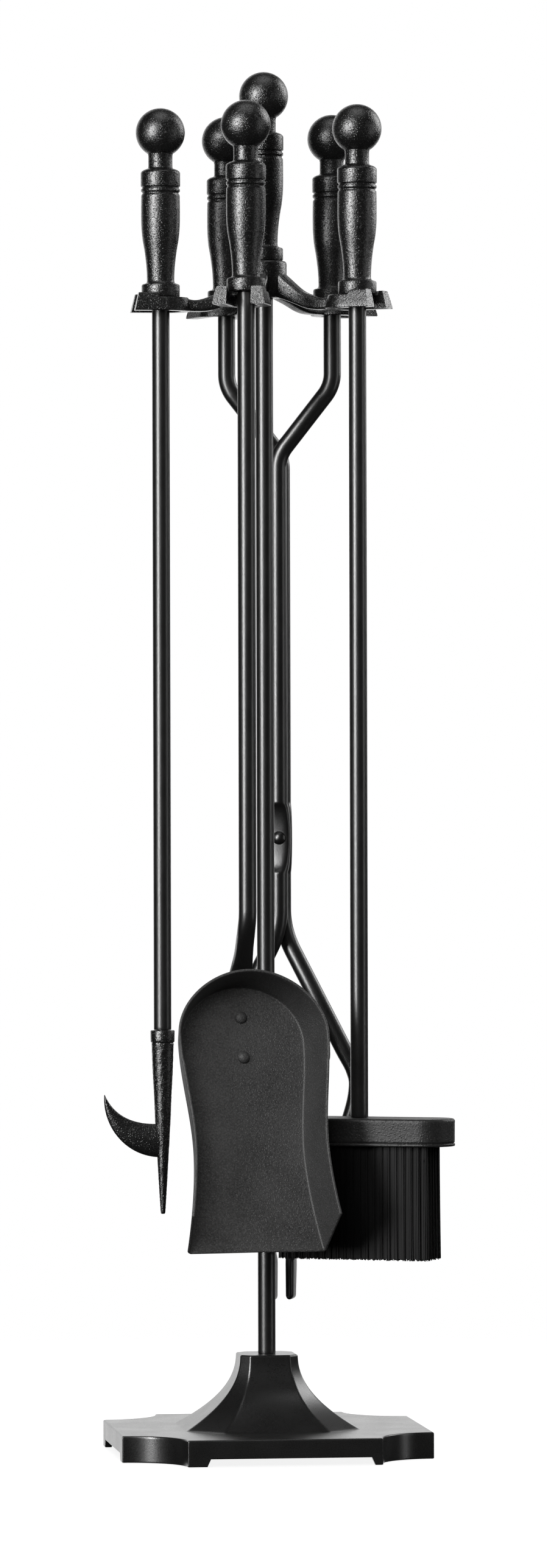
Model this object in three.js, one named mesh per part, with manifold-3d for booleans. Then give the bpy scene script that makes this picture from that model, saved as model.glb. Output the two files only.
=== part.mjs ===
// Fireplace tool set: a stand with five hooks, a poker, a shovel, a brush and scissor tongs.
// Millimetres, +Z up. The stand is built round its pole; the last lines centre the whole set.
import * as THREE from "three";
import { mergeVertices } from "three/addons/utils/BufferGeometryUtils.js";
import Module from "manifold-3d";

const wasm = await Module();
wasm.setup();

const { degToRad, lerp, smoothstep } = THREE.MathUtils;
const AXIS_X = new THREE.Vector3(1, 0, 0);
const AXIS_Y = new THREE.Vector3(0, 1, 0);

// ---------------------------------------------------------------- sizes

const GAP = 0.2; // clearance between two pieces that touch on the real set
const ROUND = 24; // sides of a turned piece

const ROD = { radius: 5, spigot: 3, spigotLength: 24 };
const BORE = { radius: 3.3, depth: 27 };

const BASE = {
  half: 88.5, // half the square plate
  bite: 33.5, // radius of the round bite out of each corner
  top: 15,
  deck: 4.5,
  wall: 4,
  lift: 4.3, // underside of the straight walls above the floor
  foot: 11,
  shortFoot: 4.4, // at the right-hand end of the front wall
  step: 2,
};

const PEDESTAL = {
  top: 56.5,
  cap: 7,
  wall: 5,
  head: { flat: 16.5, facet: 11.3 },
  root: { flat: 49.5, facet: 30 },
  flare: 2.2,
  rings: 9,
};

const HUB = { radius: 13, bottom: 658.6, top: 679.7, socket: 5.3, socketTop: 662 };
const POLE = { bottom: PEDESTAL.top, top: HUB.socketTop - GAP };

const HOOK = {
  count: 5,
  first: 36, // bearing of the right tongs hook
  floor: 658.6,
  under: 650.8,
  lugTop: 661,
  slot: 6.95, // half the width of the slot
  seat: 55.2, // where the slot's round end is centred
  half: 13.5,
  back: 57,
  tip: 73.5,
  draft: 1.8,
  lugCentre: 58.5,
  lugRadius: 13.4,
};

const ARM = { width: 10, bevel: 1.5 };

const HANDLE = {
  ball: 14,
  ballCentre: 93.8,
  neck: 6.9,
  foot: 10.9,
};
const FOOT_Z = 658.9; // underside of a hanging tool's handle
const FINIAL_Z = 680;

const POKER = { reach: 59.3, tipTop: 241.3, tipEnd: 136.6 };

const SHOVEL = {
  reach: 57.9,
  slack: 1.1,
  yaw: 8.5,
  pitch: 15,
  setBack: 20.5, // top edge of the floor behind the rod
  floorTop: 266,
  sheet: 1.5,
  depth: 27,
  topFlare: 7,
  shoulderFlare: 15.5,
  sideFlare: 14.5,
  crease: -46.5,
  shoulder: { v: -33, half: 36 },
  waist: { v: -94, half: 31.5 },
  mouth: { v: -152.3, half: 39.1 },
  rimEnd: 14.2, // how far the walls stop short of the mouth at the rim
  strap: 2, // half its thickness
  strapHalf: 10,
  strapEnd: -50,
  rivets: { upper: -17.2, lower: -40.3 },
};

const BRUSH = {
  reach: 60.5,
  yaw: -26,
  top: 192.2,
  bottom: 176.6,
  length: 112,
  width: 34,
  packTop: [90, 27.5],
  packEnd: [91, 28.5],
  packBottom: 112,
};

const TONGS = {
  offset: 44.9,
  bearing: 72,
  handle: 31, // half the distance between the handle rods
  shoulder: 611,
  join: 570,
  bend: 7, // how far each sharp upper bend is rounded along both runs
  part: 300.6,
  pivot: 350.3,
  layer: 0.2, // half the gap between the two crossing rods
  paddle: { half: 6.2, thick: 2.5, flat: 13, end: 24 },
  clawTop: 107,
  clawEnd: 84,
  claw: { u: 4.1, half: [2.5, 7.5], endHalf: [2.3, 6.6] },
};

// The bounding box of everything, measured from the pole, is centred here.
const CENTRE = { x: 4, y: -7.2 };

// ------------------------------------------------------------ materials

const paint = (color, roughness, metalness) =>
  new THREE.MeshStandardMaterial({ color, roughness, metalness });

const rodPaint = () => paint(0x2a2a2b, 0.42, 0.3);
const castPaint = () => paint(0x1c1c1d, 0.3, 0.3);
const sheetPaint = () => paint(0x2f2f30, 0.62, 0.2);
const basePaint = () => paint(0x262627, 0.4, 0.3);
const bareSteel = () => paint(0x8b8d90, 0.35, 1);
const plastic = () => paint(0x1e1e1f, 0.7, 0);
const bristle = () => paint(0x0d0d0e, 0.9, 0);

// -------------------------------------------------------------- helpers

/** A closed three.js geometry as a manifold solid. */
function solid(geometry) {
  const bare = geometry.index ? geometry.toNonIndexed() : geometry.clone();
  bare.deleteAttribute("normal");
  bare.deleteAttribute("uv");
  const merged = mergeVertices(bare, 1e-4);
  return new wasm.Manifold(
    new wasm.Mesh({
      numProp: 3,
      vertProperties: merged.attributes.position.array,
      triVerts: new Uint32Array(merged.index.array),
    }),
  );
}

/** A manifold solid back as a three.js geometry. */
function geometryOf(body) {
  const mesh = body.getMesh();
  const geometry = new THREE.BufferGeometry();
  geometry.setAttribute("position", new THREE.BufferAttribute(mesh.vertProperties, 3));
  geometry.setIndex(new THREE.BufferAttribute(mesh.triVerts, 1));
  geometry.computeVertexNormals();
  return geometry;
}

/** A body turned about +Z from [radius, height] pairs that start and end on the axis. */
function turned(profile, sides = ROUND) {
  const points = profile.map(([r, z]) => new THREE.Vector2(r, z));
  return new THREE.LatheGeometry(points, sides).rotateX(Math.PI / 2);
}

/** A plain cylinder about +Z between two heights. */
function cylinder(radius, bottom, top, sides = ROUND) {
  return turned([[0, bottom], [radius, bottom], [radius, top], [0, top]], sides);
}

/** A box between two corners. */
function box([x0, y0, z0], [x1, y1, z1]) {
  const geometry = new THREE.BoxGeometry(x1 - x0, y1 - y0, z1 - z0);
  return geometry.translate((x0 + x1) / 2, (y0 + y1) / 2, (z0 + z1) / 2);
}

/** Two axes that span the plane of a ring, with the ring running anticlockwise in them. */
function planeOf(ring) {
  const normal = new THREE.Vector3();
  ring.forEach((point, i) => {
    normal.add(point.clone().cross(ring[(i + 1) % ring.length]));
  });
  normal.normalize();
  const helper = Math.abs(normal.x) < 0.8 ? AXIS_X : AXIS_Y;
  const u = helper.clone().cross(normal).normalize();
  return [u, normal.clone().cross(u)];
}

/** Triangles that close a ring, running the same way as the ring. */
function capOf(ring) {
  const [u, v] = planeOf(ring);
  const flat = ring.map((point) => new THREE.Vector2(point.dot(u), point.dot(v)));
  const faces = THREE.ShapeUtils.triangulateShape(flat, []);
  const turn = ([a, b, c]) => THREE.ShapeUtils.area([flat[a], flat[b], flat[c]]);
  const total = faces.reduce((sum, face) => sum + turn(face), 0);
  return total > 0 ? faces : faces.map(([a, b, c]) => [a, c, b]);
}

/** A closed body through rings of points that all hold the same number of points. */
function loft(rings) {
  const count = rings[0].length;
  const faces = [];
  for (let r = 0; r + 1 < rings.length; r++) {
    for (let i = 0; i < count; i++) {
      const a = r * count + i;
      const b = r * count + ((i + 1) % count);
      faces.push([a, b, b + count], [a, b + count, a + count]);
    }
  }
  const last = count * (rings.length - 1);
  capOf(rings[0]).forEach(([a, b, c]) => faces.push([a, c, b]));
  capOf(rings.at(-1)).forEach(([a, b, c]) => faces.push([a + last, b + last, c + last]));
  const points = rings.flat();
  const volume = faces.reduce((sum, [a, b, c]) => {
    return sum + points[a].dot(points[b].clone().cross(points[c]));
  }, 0);
  const index = volume > 0 ? faces : faces.map(([a, b, c]) => [a, c, b]);
  return new THREE.BufferGeometry().setFromPoints(points).setIndex(index.flat());
}

/** A body swept through stations {at, half: [across, other], power} with a fixed cross axis. */
function sweep(stations, across, sides = 16) {
  const rings = stations.map(({ at, half, power = 2 }, i) => {
    const before = stations[Math.max(i - 1, 0)].at;
    const after = stations[Math.min(i + 1, stations.length - 1)].at;
    const tangent = after.clone().sub(before).normalize();
    const other = across.clone().cross(tangent).normalize();
    return Array.from({ length: sides }, (_, k) => {
      const angle = (2 * Math.PI * (k + 0.5)) / sides;
      const round = (value) => Math.sign(value) * Math.abs(value) ** (2 / power);
      return at
        .clone()
        .addScaledVector(across, half[0] * round(Math.cos(angle)))
        .addScaledVector(other, half[1] * round(Math.sin(angle)));
    });
  });
  return loft(rings);
}

/** Straight runs between corners, each corner rounded off by `cut` along both runs. */
function roundedPath(corners, cut, steps = 5) {
  const points = [corners[0]];
  for (let i = 1; i < corners.length - 1; i++) {
    const toward = (end) => end.clone().sub(corners[i]).setLength(cut).add(corners[i]);
    const bend = new THREE.QuadraticBezierCurve3(
      toward(corners[i - 1]),
      corners[i],
      toward(corners[i + 1]),
    );
    points.push(...bend.getPoints(steps));
  }
  points.push(corners.at(-1));
  return points;
}

/** Points on an arc about a centre, in degrees. */
function arc(cx, cy, radius, from, to, steps) {
  return Array.from({ length: steps + 1 }, (_, i) => {
    const angle = degToRad(lerp(from, to, i / steps));
    return [cx + radius * Math.cos(angle), cy + radius * Math.sin(angle)];
  });
}

/** A flat outline of [x, y] pairs lifted to a height. */
const atHeight = (outline, z) => outline.map(([x, y]) => new THREE.Vector3(x, y, z));

/** A named mesh, added to its group. */
function addPart(group, name, geometry, material) {
  const mesh = new THREE.Mesh(geometry, material);
  mesh.name = name;
  group.add(mesh);
  return mesh;
}

/** A named group standing at a bearing and distance from the pole. */
function stationGroup(name, reach, bearing, slack = 0) {
  const angle = degToRad(bearing);
  const group = new THREE.Group();
  group.name = name;
  group.position.set(
    reach * Math.cos(angle) - slack * Math.sin(angle),
    reach * Math.sin(angle) + slack * Math.cos(angle),
    0,
  );
  return group;
}

// ---------------------------------------------------------------- stand

/** The plate's outline, drawn in by `inset` on every side. */
function baseOutline(inset) {
  const side = BASE.half - inset;
  const radius = BASE.bite + inset;
  const spread = THREE.MathUtils.radToDeg(Math.asin(inset / radius));
  const points = [];
  for (let turn = 0; turn < 4; turn++) {
    const [sx, sy] = [[1, 1], [-1, 1], [-1, -1], [1, -1]][turn];
    const start = 270 + 90 * turn - spread;
    const end = 180 + 90 * turn + spread;
    points.push(...arc(sx * BASE.half, sy * BASE.half, radius, start, end, 8));
  }
  return points.map(([x, y]) => [
    THREE.MathUtils.clamp(x, -side, side),
    THREE.MathUtils.clamp(y, -side, side),
  ]);
}

/** The gap under one straight wall, between two feet with slanted steps. */
function wallWindow(leftFoot, rightFoot) {
  const end = BASE.half - BASE.bite;
  const shape = new THREE.Shape([
    new THREE.Vector2(-end + leftFoot, -1),
    new THREE.Vector2(end - rightFoot, -1),
    new THREE.Vector2(end - rightFoot - BASE.step, BASE.lift),
    new THREE.Vector2(-end + leftFoot + BASE.step, BASE.lift),
  ]);
  const depth = 2 * BASE.wall;
  return new THREE.ExtrudeGeometry(shape, { depth, bevelEnabled: false })
    .rotateX(Math.PI / 2)
    .translate(0, -BASE.half + depth * 0.75, 0);
}

/** One octagonal ring of the pedestal, drawn in by `inset`. */
function pedestalRing(z, inset) {
  const fall = ((PEDESTAL.top - z) / (PEDESTAL.top - BASE.top)) ** PEDESTAL.flare;
  const flat = lerp(PEDESTAL.head.flat, PEDESTAL.root.flat, fall) - inset;
  const facet = lerp(PEDESTAL.head.facet, PEDESTAL.root.facet, fall) - inset * 0.45;
  const corners = [[flat, facet], [facet, flat]];
  const ring = [];
  for (let turn = 0; turn < 4; turn++) {
    for (const [x, y] of corners) {
      ring.push([[x, y], [-y, x], [-x, -y], [y, -x]][turn]);
    }
  }
  return atHeight(ring, z);
}

/** The flared pedestal as a solid, from a height up to another one. */
function pedestalBody(bottom, top, inset) {
  const rings = Array.from({ length: PEDESTAL.rings }, (_, i) => {
    return pedestalRing(lerp(bottom, top, i / (PEDESTAL.rings - 1)), inset);
  });
  return solid(loft(rings));
}

function baseCasting() {
  const outer = solid(loft([0, BASE.top].map((z) => atHeight(baseOutline(0), z))));
  const deckUnder = BASE.top - BASE.deck;
  const pocket = solid(loft([-1, deckUnder].map((z) => atHeight(baseOutline(BASE.wall), z))));
  let body = outer.subtract(pocket).add(pedestalBody(BASE.top, PEDESTAL.top, 0));
  const roof = PEDESTAL.top - PEDESTAL.cap;
  body = body.subtract(pedestalBody(deckUnder - 0.5, roof, PEDESTAL.wall));
  body = body.subtract(solid(cylinder(BORE.radius, roof - 1, PEDESTAL.top + 1)));
  for (let side = 0; side < 4; side++) {
    // Sides in turn: front, right, back, left.
    const left = side === 1 ? BASE.shortFoot : BASE.foot;
    const right = side === 0 ? BASE.shortFoot : BASE.foot;
    const window = wallWindow(left, right).rotateZ((side * Math.PI) / 2);
    body = body.subtract(solid(window));
  }
  return geometryOf(body);
}

function baseBolt() {
  const under = PEDESTAL.top - PEDESTAL.cap - GAP - 1.5 - GAP;
  const head = new THREE.CylinderGeometry(5.8, 5.8, 4, 6).rotateX(Math.PI / 2);
  const shank = cylinder(ROD.spigot, under - 0.5, PEDESTAL.top + 20, 16);
  return geometryOf(solid(head.translate(0, 0, under - 2)).add(solid(shank)));
}

function baseWasher() {
  const top = PEDESTAL.top - PEDESTAL.cap - GAP;
  const disc = solid(cylinder(8, top - 1.5, top));
  return geometryOf(disc.subtract(solid(cylinder(BORE.radius, top - 3, top + 1, 16))));
}

function pole() {
  return turned([
    [0, POLE.bottom + 22],
    [BORE.radius, POLE.bottom + 22],
    [BORE.radius, POLE.bottom],
    [ROD.radius, POLE.bottom],
    [ROD.radius, POLE.top],
    [BORE.radius, POLE.top],
    [BORE.radius, POLE.top - 22],
    [0, POLE.top - 22],
  ]);
}

/** One arm of the hanger, bevelled along its edges, pointing along +X. */
function hangerArm() {
  const curve = (points) =>
    new THREE.SplineCurve(points.map(([x, z]) => new THREE.Vector2(x, z))).getPoints(12);
  const lower = curve([[8, 659.2], [18, 655.9], [27.7, 652.2], [35, 650.8], [46, 650.8]]);
  const upper = curve([[46, 658.2], [39, 656.9], [30.6, 659.8], [24, 662.9], [15, 670.3], [8, 676]]);
  const half = ARM.width / 2;
  const slices = [
    [-half, ARM.bevel],
    [ARM.bevel - half, 0],
    [half - ARM.bevel, 0],
    [half, ARM.bevel],
  ];
  return loft(
    slices.map(([y, pinch]) => [
      ...lower.map((point) => new THREE.Vector3(point.x, y, point.y + pinch)),
      ...upper.map((point) => new THREE.Vector3(point.x, y, point.y - pinch)),
    ]),
  );
}

/** The U of one hook seen from above, open towards +X. */
function hookOutline(grow) {
  const half = HOOK.half + grow;
  const tip = HOOK.tip + grow;
  return [
    [tip, half],
    ...arc(HOOK.back, 0, half, 90, 270, 12),
    [tip, -half],
    [tip, -HOOK.slot],
    ...arc(HOOK.seat, 0, HOOK.slot, 270, 90, 10),
    [tip, HOOK.slot],
  ];
}

/** One drafted hook with a raised lug on each prong. */
function hangerHook() {
  const levels = [
    [HOOK.under, HOOK.draft],
    [HOOK.floor, 0],
    [HOOK.lugTop, -0.6],
  ];
  const body = solid(loft(levels.map(([z, grow]) => atHeight(hookOutline(grow), z))));
  const seat = cylinder(HOOK.lugRadius, HOOK.floor, HOOK.lugTop + 1, 32);
  seat.translate(HOOK.lugCentre, 0, 0);
  const behind = box([30, -30, HOOK.floor], [HOOK.lugCentre + 3.2, 30, HOOK.lugTop + 1]);
  return body.subtract(solid(seat)).subtract(solid(behind));
}

function toolHanger() {
  let body = solid(
    turned([
      [0, HUB.bottom],
      [HUB.radius - 3, HUB.bottom],
      [HUB.radius, HUB.bottom + 3],
      [HUB.radius, HUB.top - 1],
      [HUB.radius - 1, HUB.top],
      [0, HUB.top],
    ]),
  );
  const branch = solid(hangerArm()).add(hangerHook());
  for (let i = 0; i < HOOK.count; i++) {
    body = body.add(branch.rotate([0, 0, HOOK.first + (360 / HOOK.count) * i]));
  }
  body = body.subtract(solid(cylinder(BORE.radius, HUB.bottom - 1, HUB.top + 1, 16)));
  body = body.subtract(solid(cylinder(HUB.socket, HUB.bottom - 1, HUB.socketTop)));
  return geometryOf(body);
}

/** The ball handle that every tool and the stand share, standing on its foot. */
function handle() {
  const start = THREE.MathUtils.radToDeg(Math.asin(HANDLE.neck / HANDLE.ball)) - 90;
  const ball = arc(0, HANDLE.ballCentre, HANDLE.ball, start, 90, 11);
  ball[ball.length - 1][0] = 0;
  return turned([
    [0, BORE.depth],
    [BORE.radius, BORE.depth],
    [BORE.radius, 0],
    [HANDLE.foot, 0],
    [HANDLE.foot, 7.4],
    [7.8, 10],
    [8, 14.5],
    [8.3, 19.7],
    [9.25, 26.7],
    [10.5, 33.6],
    [11, 40.5],
    [11, 58.5],
    [10.3, 59],
    [11.1, 60.1],
    [11.1, 61.6],
    [10.4, 62.1],
    [11.25, 62.9],
    [11.25, 71.4],
    [10, 72.4],
    [HANDLE.neck, 73.6],
    ...ball,
  ]);
}

/** The shared handle with its foot at a height. */
const handleAt = (z) => handle().translate(0, 0, z);

/** A straight rod from a shoulder up to its handle, with a spigot at both ends. */
function spigotRod(bottom, lowerSpigot) {
  const top = FOOT_Z - GAP;
  return turned([
    [0, bottom - lowerSpigot],
    [ROD.spigot, bottom - lowerSpigot],
    [ROD.spigot, bottom],
    [ROD.radius, bottom],
    [ROD.radius, top],
    [ROD.spigot, top],
    [ROD.spigot, top + ROD.spigotLength],
    [0, top + ROD.spigotLength],
  ]);
}

function standGroup() {
  const group = new THREE.Group();
  group.name = "stand";
  addPart(group, "base_casting", baseCasting(), basePaint());
  addPart(group, "base_bolt", baseBolt(), bareSteel());
  addPart(group, "base_washer", baseWasher(), bareSteel());
  addPart(group, "pole", pole(), rodPaint());
  addPart(group, "tool_hanger", toolHanger(), castPaint());
  const stud = cylinder(ROD.spigot, POLE.top - 20, FINIAL_Z + ROD.spigotLength, 16);
  addPart(group, "top_stud", stud, bareSteel());
  addPart(group, "stand_finial", handleAt(FINIAL_Z), castPaint());
  return group;
}

// ---------------------------------------------------------------- poker

/** The curved spur, a crescent that thins towards its point. */
function pokerSpur() {
  const point = new THREE.Vector2(-33.5, 205.5);
  const outer = new THREE.CubicBezierCurve(
    point,
    new THREE.Vector2(-35.2, 187),
    new THREE.Vector2(-21.5, 169.2),
    new THREE.Vector2(-1.5, 168.8),
  );
  const inner = new THREE.CubicBezierCurve(
    point,
    new THREE.Vector2(-28.5, 193),
    new THREE.Vector2(-17.5, 187.2),
    new THREE.Vector2(-1.5, 188),
  );
  const steps = 9;
  const rings = [];
  for (let i = 0; i <= steps; i++) {
    const t = lerp(0.04, 1, i / steps);
    const low = outer.getPoint(t);
    const high = inner.getPoint(t);
    const middle = low.clone().lerp(high, 0.5);
    const half = lerp(0.5, 3.3, Math.sqrt(i / steps));
    rings.push([
      new THREE.Vector3(low.x, -half * 0.3, low.y),
      new THREE.Vector3(lerp(low.x, middle.x, 0.5), -half, lerp(low.y, middle.y, 0.5)),
      new THREE.Vector3(lerp(high.x, middle.x, 0.5), -half, lerp(high.y, middle.y, 0.5)),
      new THREE.Vector3(high.x, -half * 0.3, high.y),
      new THREE.Vector3(high.x, half * 0.3, high.y),
      new THREE.Vector3(lerp(high.x, middle.x, 0.5), half, lerp(high.y, middle.y, 0.5)),
      new THREE.Vector3(lerp(low.x, middle.x, 0.5), half, lerp(low.y, middle.y, 0.5)),
      new THREE.Vector3(low.x, half * 0.3, low.y),
    ]);
  }
  return loft(rings);
}

function pokerTip() {
  const spike = turned(
    [
      [0, POKER.tipEnd],
      [1.3, POKER.tipEnd],
      [2, 148],
      [2.85, 162],
      [4.4, 190],
      [5, 204],
      [5.75, 217.8],
      [6.3, 233.6],
      [6.75, 234.6],
      [6.75, POKER.tipTop],
      [BORE.radius, POKER.tipTop],
      [BORE.radius, POKER.tipTop - 19],
      [0, POKER.tipTop - 19],
    ],
    20,
  );
  return geometryOf(solid(spike).add(solid(pokerSpur())));
}

function pokerGroup() {
  const group = stationGroup("poker", POKER.reach, 180);
  addPart(group, "poker_handle", handleAt(FOOT_Z), castPaint());
  addPart(group, "poker_rod", spigotRod(POKER.tipTop + GAP, 18), rodPaint());
  addPart(group, "poker_tip", pokerTip(), castPaint());
  return group;
}

// --------------------------------------------------------------- shovel

/** Half the pan's width at a place along its floor; v is 0 at the top edge. */
function panHalfWidth(v) {
  const { shoulder, waist, mouth } = SHOVEL;
  if (v > waist.v) {
    const t = (v - waist.v) / (shoulder.v - waist.v);
    return lerp(waist.half, shoulder.half, (1 - Math.cos(Math.PI * t)) / 2);
  }
  const t = (v - waist.v) / (mouth.v - waist.v);
  return lerp(waist.half, mouth.half, t ** 1.7);
}

/** The pan's edge from the right of the mouth over the top to the left, `past` beyond it. */
function panEdge(past) {
  const { shoulder, mouth } = SHOVEL;
  const end = mouth.v - past;
  const steps = 13;
  const side = Array.from({ length: steps }, (_, i) => {
    const v = lerp(end, shoulder.v, i / steps);
    return new THREE.Vector2(panHalfWidth(v), v);
  });
  const crown = arc(0, 0, 1, 0, 180, 20).map(([x, y]) => {
    return new THREE.Vector2(x * shoulder.half, shoulder.v - y * shoulder.v);
  });
  const back = side.map(({ x, y }) => new THREE.Vector2(-x, y)).reverse();
  return [...side, ...crown, ...back];
}

/** How far the wall leans out, in degrees: little at the top, more from the shoulder down. */
function panLean(v) {
  const { crease, shoulder, topFlare, shoulderFlare, sideFlare } = SHOVEL;
  if (v < crease) return sideFlare;
  return lerp(topFlare, shoulderFlare, smoothstep(v / shoulder.v, 0, 1));
}

/** The pan's edge moved outwards as its walls lean out, at a height above the floor. */
function panRing(height, thickness, past) {
  const edge = panEdge(past);
  return edge.map((point, i) => {
    const before = edge[Math.max(i - 1, 0)];
    const after = edge[Math.min(i + 1, edge.length - 1)];
    const along = after.clone().sub(before).normalize();
    const lean = panLean(point.y);
    const out = thickness + height * Math.tan(degToRad(lean));
    return new THREE.Vector3(point.x + along.y * out, point.y - along.x * out, height);
  });
}

function shovelPan() {
  const { sheet, depth, mouth, rimEnd } = SHOVEL;
  const shell = solid(loft([-sheet, depth].map((height) => panRing(height, sheet, 0))));
  const room = solid(loft([0, depth + 5].map((height) => panRing(height, 0, 12))));
  const slant = new THREE.Shape([
    new THREE.Vector2(mouth.v, 0),
    new THREE.Vector2(mouth.v + (rimEnd * (depth + 5)) / depth, depth + 5),
    new THREE.Vector2(mouth.v - 30, depth + 5),
    new THREE.Vector2(mouth.v - 30, 0),
  ]);
  // The slanted front of the walls: drawn in (v, height), laid across the pan.
  const cut = new THREE.ExtrudeGeometry(slant, { depth: 160, bevelEnabled: false });
  const layAcross = new THREE.Matrix4().makeBasis(AXIS_Y, new THREE.Vector3(0, 0, 1), AXIS_X);
  cut.applyMatrix4(layAcross).translate(-80, 0, 0);
  let body = shell.subtract(room).subtract(solid(cut));
  for (const v of Object.values(SHOVEL.rivets)) {
    body = body.subtract(solid(cylinder(2.6, -5, 5, 16).translate(0, v, 0)));
  }
  return geometryOf(body);
}

/** A place on the pan's centre line, in the shovel's own frame. */
function onPan(v, height) {
  const pitch = degToRad(SHOVEL.pitch);
  return new THREE.Vector3(
    0,
    SHOVEL.setBack + v * Math.sin(pitch) - height * Math.cos(pitch),
    SHOVEL.floorTop + v * Math.cos(pitch) + height * Math.sin(pitch),
  );
}

/** The rod with the strap forged on its lower end, bent back behind the pan. */
function shovelRod() {
  const top = FOOT_Z - GAP;
  const behind = -(SHOVEL.sheet + GAP + SHOVEL.strap);
  const bendTop = new THREE.Vector3(0, 0, 302);
  const bendEnd = onPan(9, behind);
  const run = roundedPath([new THREE.Vector3(0, 0, 330), bendTop, bendEnd, onPan(-44, behind)], 9);
  const upright = [
    { at: new THREE.Vector3(0, 0, top + ROD.spigotLength), half: [ROD.spigot, ROD.spigot] },
    { at: new THREE.Vector3(0, 0, top), half: [ROD.spigot, ROD.spigot] },
    { at: new THREE.Vector3(0, 0, top), half: [ROD.radius, ROD.radius] },
  ];
  const strap = run.map((at) => {
    const t = smoothstep(308 - at.z, 0, 44);
    return {
      at,
      half: [lerp(ROD.radius, SHOVEL.strapHalf, t), lerp(ROD.radius, SHOVEL.strap, t)],
      power: lerp(2, 5, t),
    };
  });
  const rounding = [[-47, 8.6], [-49, 6], [SHOVEL.strapEnd, 3]].map(([v, half]) => ({
    at: onPan(v, behind),
    half: [half, SHOVEL.strap],
    power: 5,
  }));
  let body = solid(sweep([...upright, ...strap, ...rounding], AXIS_X, 20));
  for (const v of Object.values(SHOVEL.rivets)) {
    const hole = cylinder(2.6, behind - 5, behind + 5, 16).translate(0, v, 0);
    body = body.subtract(solid(hole.applyMatrix4(panMatrix())));
  }
  return geometryOf(body);
}

/** Where the pan stands in the shovel's frame: x across, y up its floor, z out of it. */
function panMatrix() {
  const tilt = new THREE.Matrix4().makeRotationX(degToRad(90 - SHOVEL.pitch));
  return tilt.setPosition(onPan(0, 0));
}

/** A round-headed rivet through the pan's floor and the strap. */
function panRivet() {
  const tail = -(SHOVEL.sheet + 2 * GAP + 2 * SHOVEL.strap) - 0.1;
  return turned(
    [
      [0, tail - 1.6],
      [2.6, tail - 1.4],
      [3.4, tail],
      [2.3, tail],
      [2.3, GAP],
      [3.4, GAP],
      [3.1, 1.3],
      [2, 2.3],
      [0, 2.8],
    ],
    16,
  );
}

function shovelGroup() {
  const group = stationGroup("shovel", SHOVEL.reach, 252, SHOVEL.slack);
  group.rotation.z = degToRad(SHOVEL.yaw);
  addPart(group, "shovel_handle", handleAt(FOOT_Z), castPaint());
  addPart(group, "shovel_rod", shovelRod(), rodPaint());
  const pan = new THREE.Group();
  pan.name = "pan_frame";
  pan.applyMatrix4(panMatrix());
  group.add(pan);
  addPart(pan, "shovel_pan", shovelPan(), sheetPaint());
  for (const [place, v] of Object.entries(SHOVEL.rivets)) {
    const rivet = addPart(pan, `shovel_rivet_${place}`, panRivet(), sheetPaint());
    rivet.position.y = v;
  }
  return group;
}

// ---------------------------------------------------------------- brush

/** A long outline with round ends, lying along X. */
function stadium(length, width) {
  const core = (length - width) / 2;
  return [...arc(core, 0, width / 2, -90, 90, 12), ...arc(-core, 0, width / 2, 90, 270, 12)];
}

/** A rectangle with rounded corners. */
function roundedBox([length, width], radius) {
  const [x, y] = [length / 2 - radius, width / 2 - radius];
  const corners = [[x, y, 0], [-x, y, 90], [-x, -y, 180], [x, -y, 270]];
  return corners.flatMap(([cx, cy, from]) => arc(cx, cy, radius, from, from + 90, 4));
}

const BRUSH_NUT = { radius: 6.4, height: 5 };

function brushBlock() {
  const rim = stadium(BRUSH.length, BRUSH.width);
  let body = solid(loft([BRUSH.bottom, BRUSH.top].map((z) => atHeight(rim, z))));
  body = body.subtract(solid(cylinder(BORE.radius, BRUSH.bottom - 1, BRUSH.top + 1, 16)));
  const recess = cylinder(BRUSH_NUT.radius + 0.6, BRUSH.bottom - 1, BRUSH.bottom + 6);
  return geometryOf(body.subtract(solid(recess)));
}

function brushNut() {
  const bottom = BRUSH.bottom + 6 - GAP - BRUSH_NUT.height;
  const hex = new THREE.CylinderGeometry(BRUSH_NUT.radius, BRUSH_NUT.radius, BRUSH_NUT.height, 6);
  hex.rotateX(Math.PI / 2).translate(0, 0, bottom + BRUSH_NUT.height / 2);
  return geometryOf(solid(hex).subtract(solid(cylinder(BORE.radius, bottom - 1, bottom + 9, 16))));
}

function brushBristles() {
  const levels = [
    [BRUSH.bottom - GAP, BRUSH.packTop],
    [BRUSH.packBottom, BRUSH.packEnd],
  ];
  return loft(levels.map(([z, size]) => atHeight(roundedBox(size, 5), z)));
}

function brushGroup() {
  const group = stationGroup("brush", BRUSH.reach, 324);
  group.rotation.z = degToRad(BRUSH.yaw);
  const thread = BRUSH.top + GAP - (BRUSH.bottom + 1.5);
  addPart(group, "brush_handle", handleAt(FOOT_Z), castPaint());
  addPart(group, "brush_rod", spigotRod(BRUSH.top + GAP, thread), rodPaint());
  addPart(group, "brush_block", brushBlock(), plastic());
  addPart(group, "brush_nut", brushNut(), bareSteel());
  addPart(group, "brush_bristles", brushBristles(), bristle());
  return group;
}

// ---------------------------------------------------------------- tongs

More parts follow.
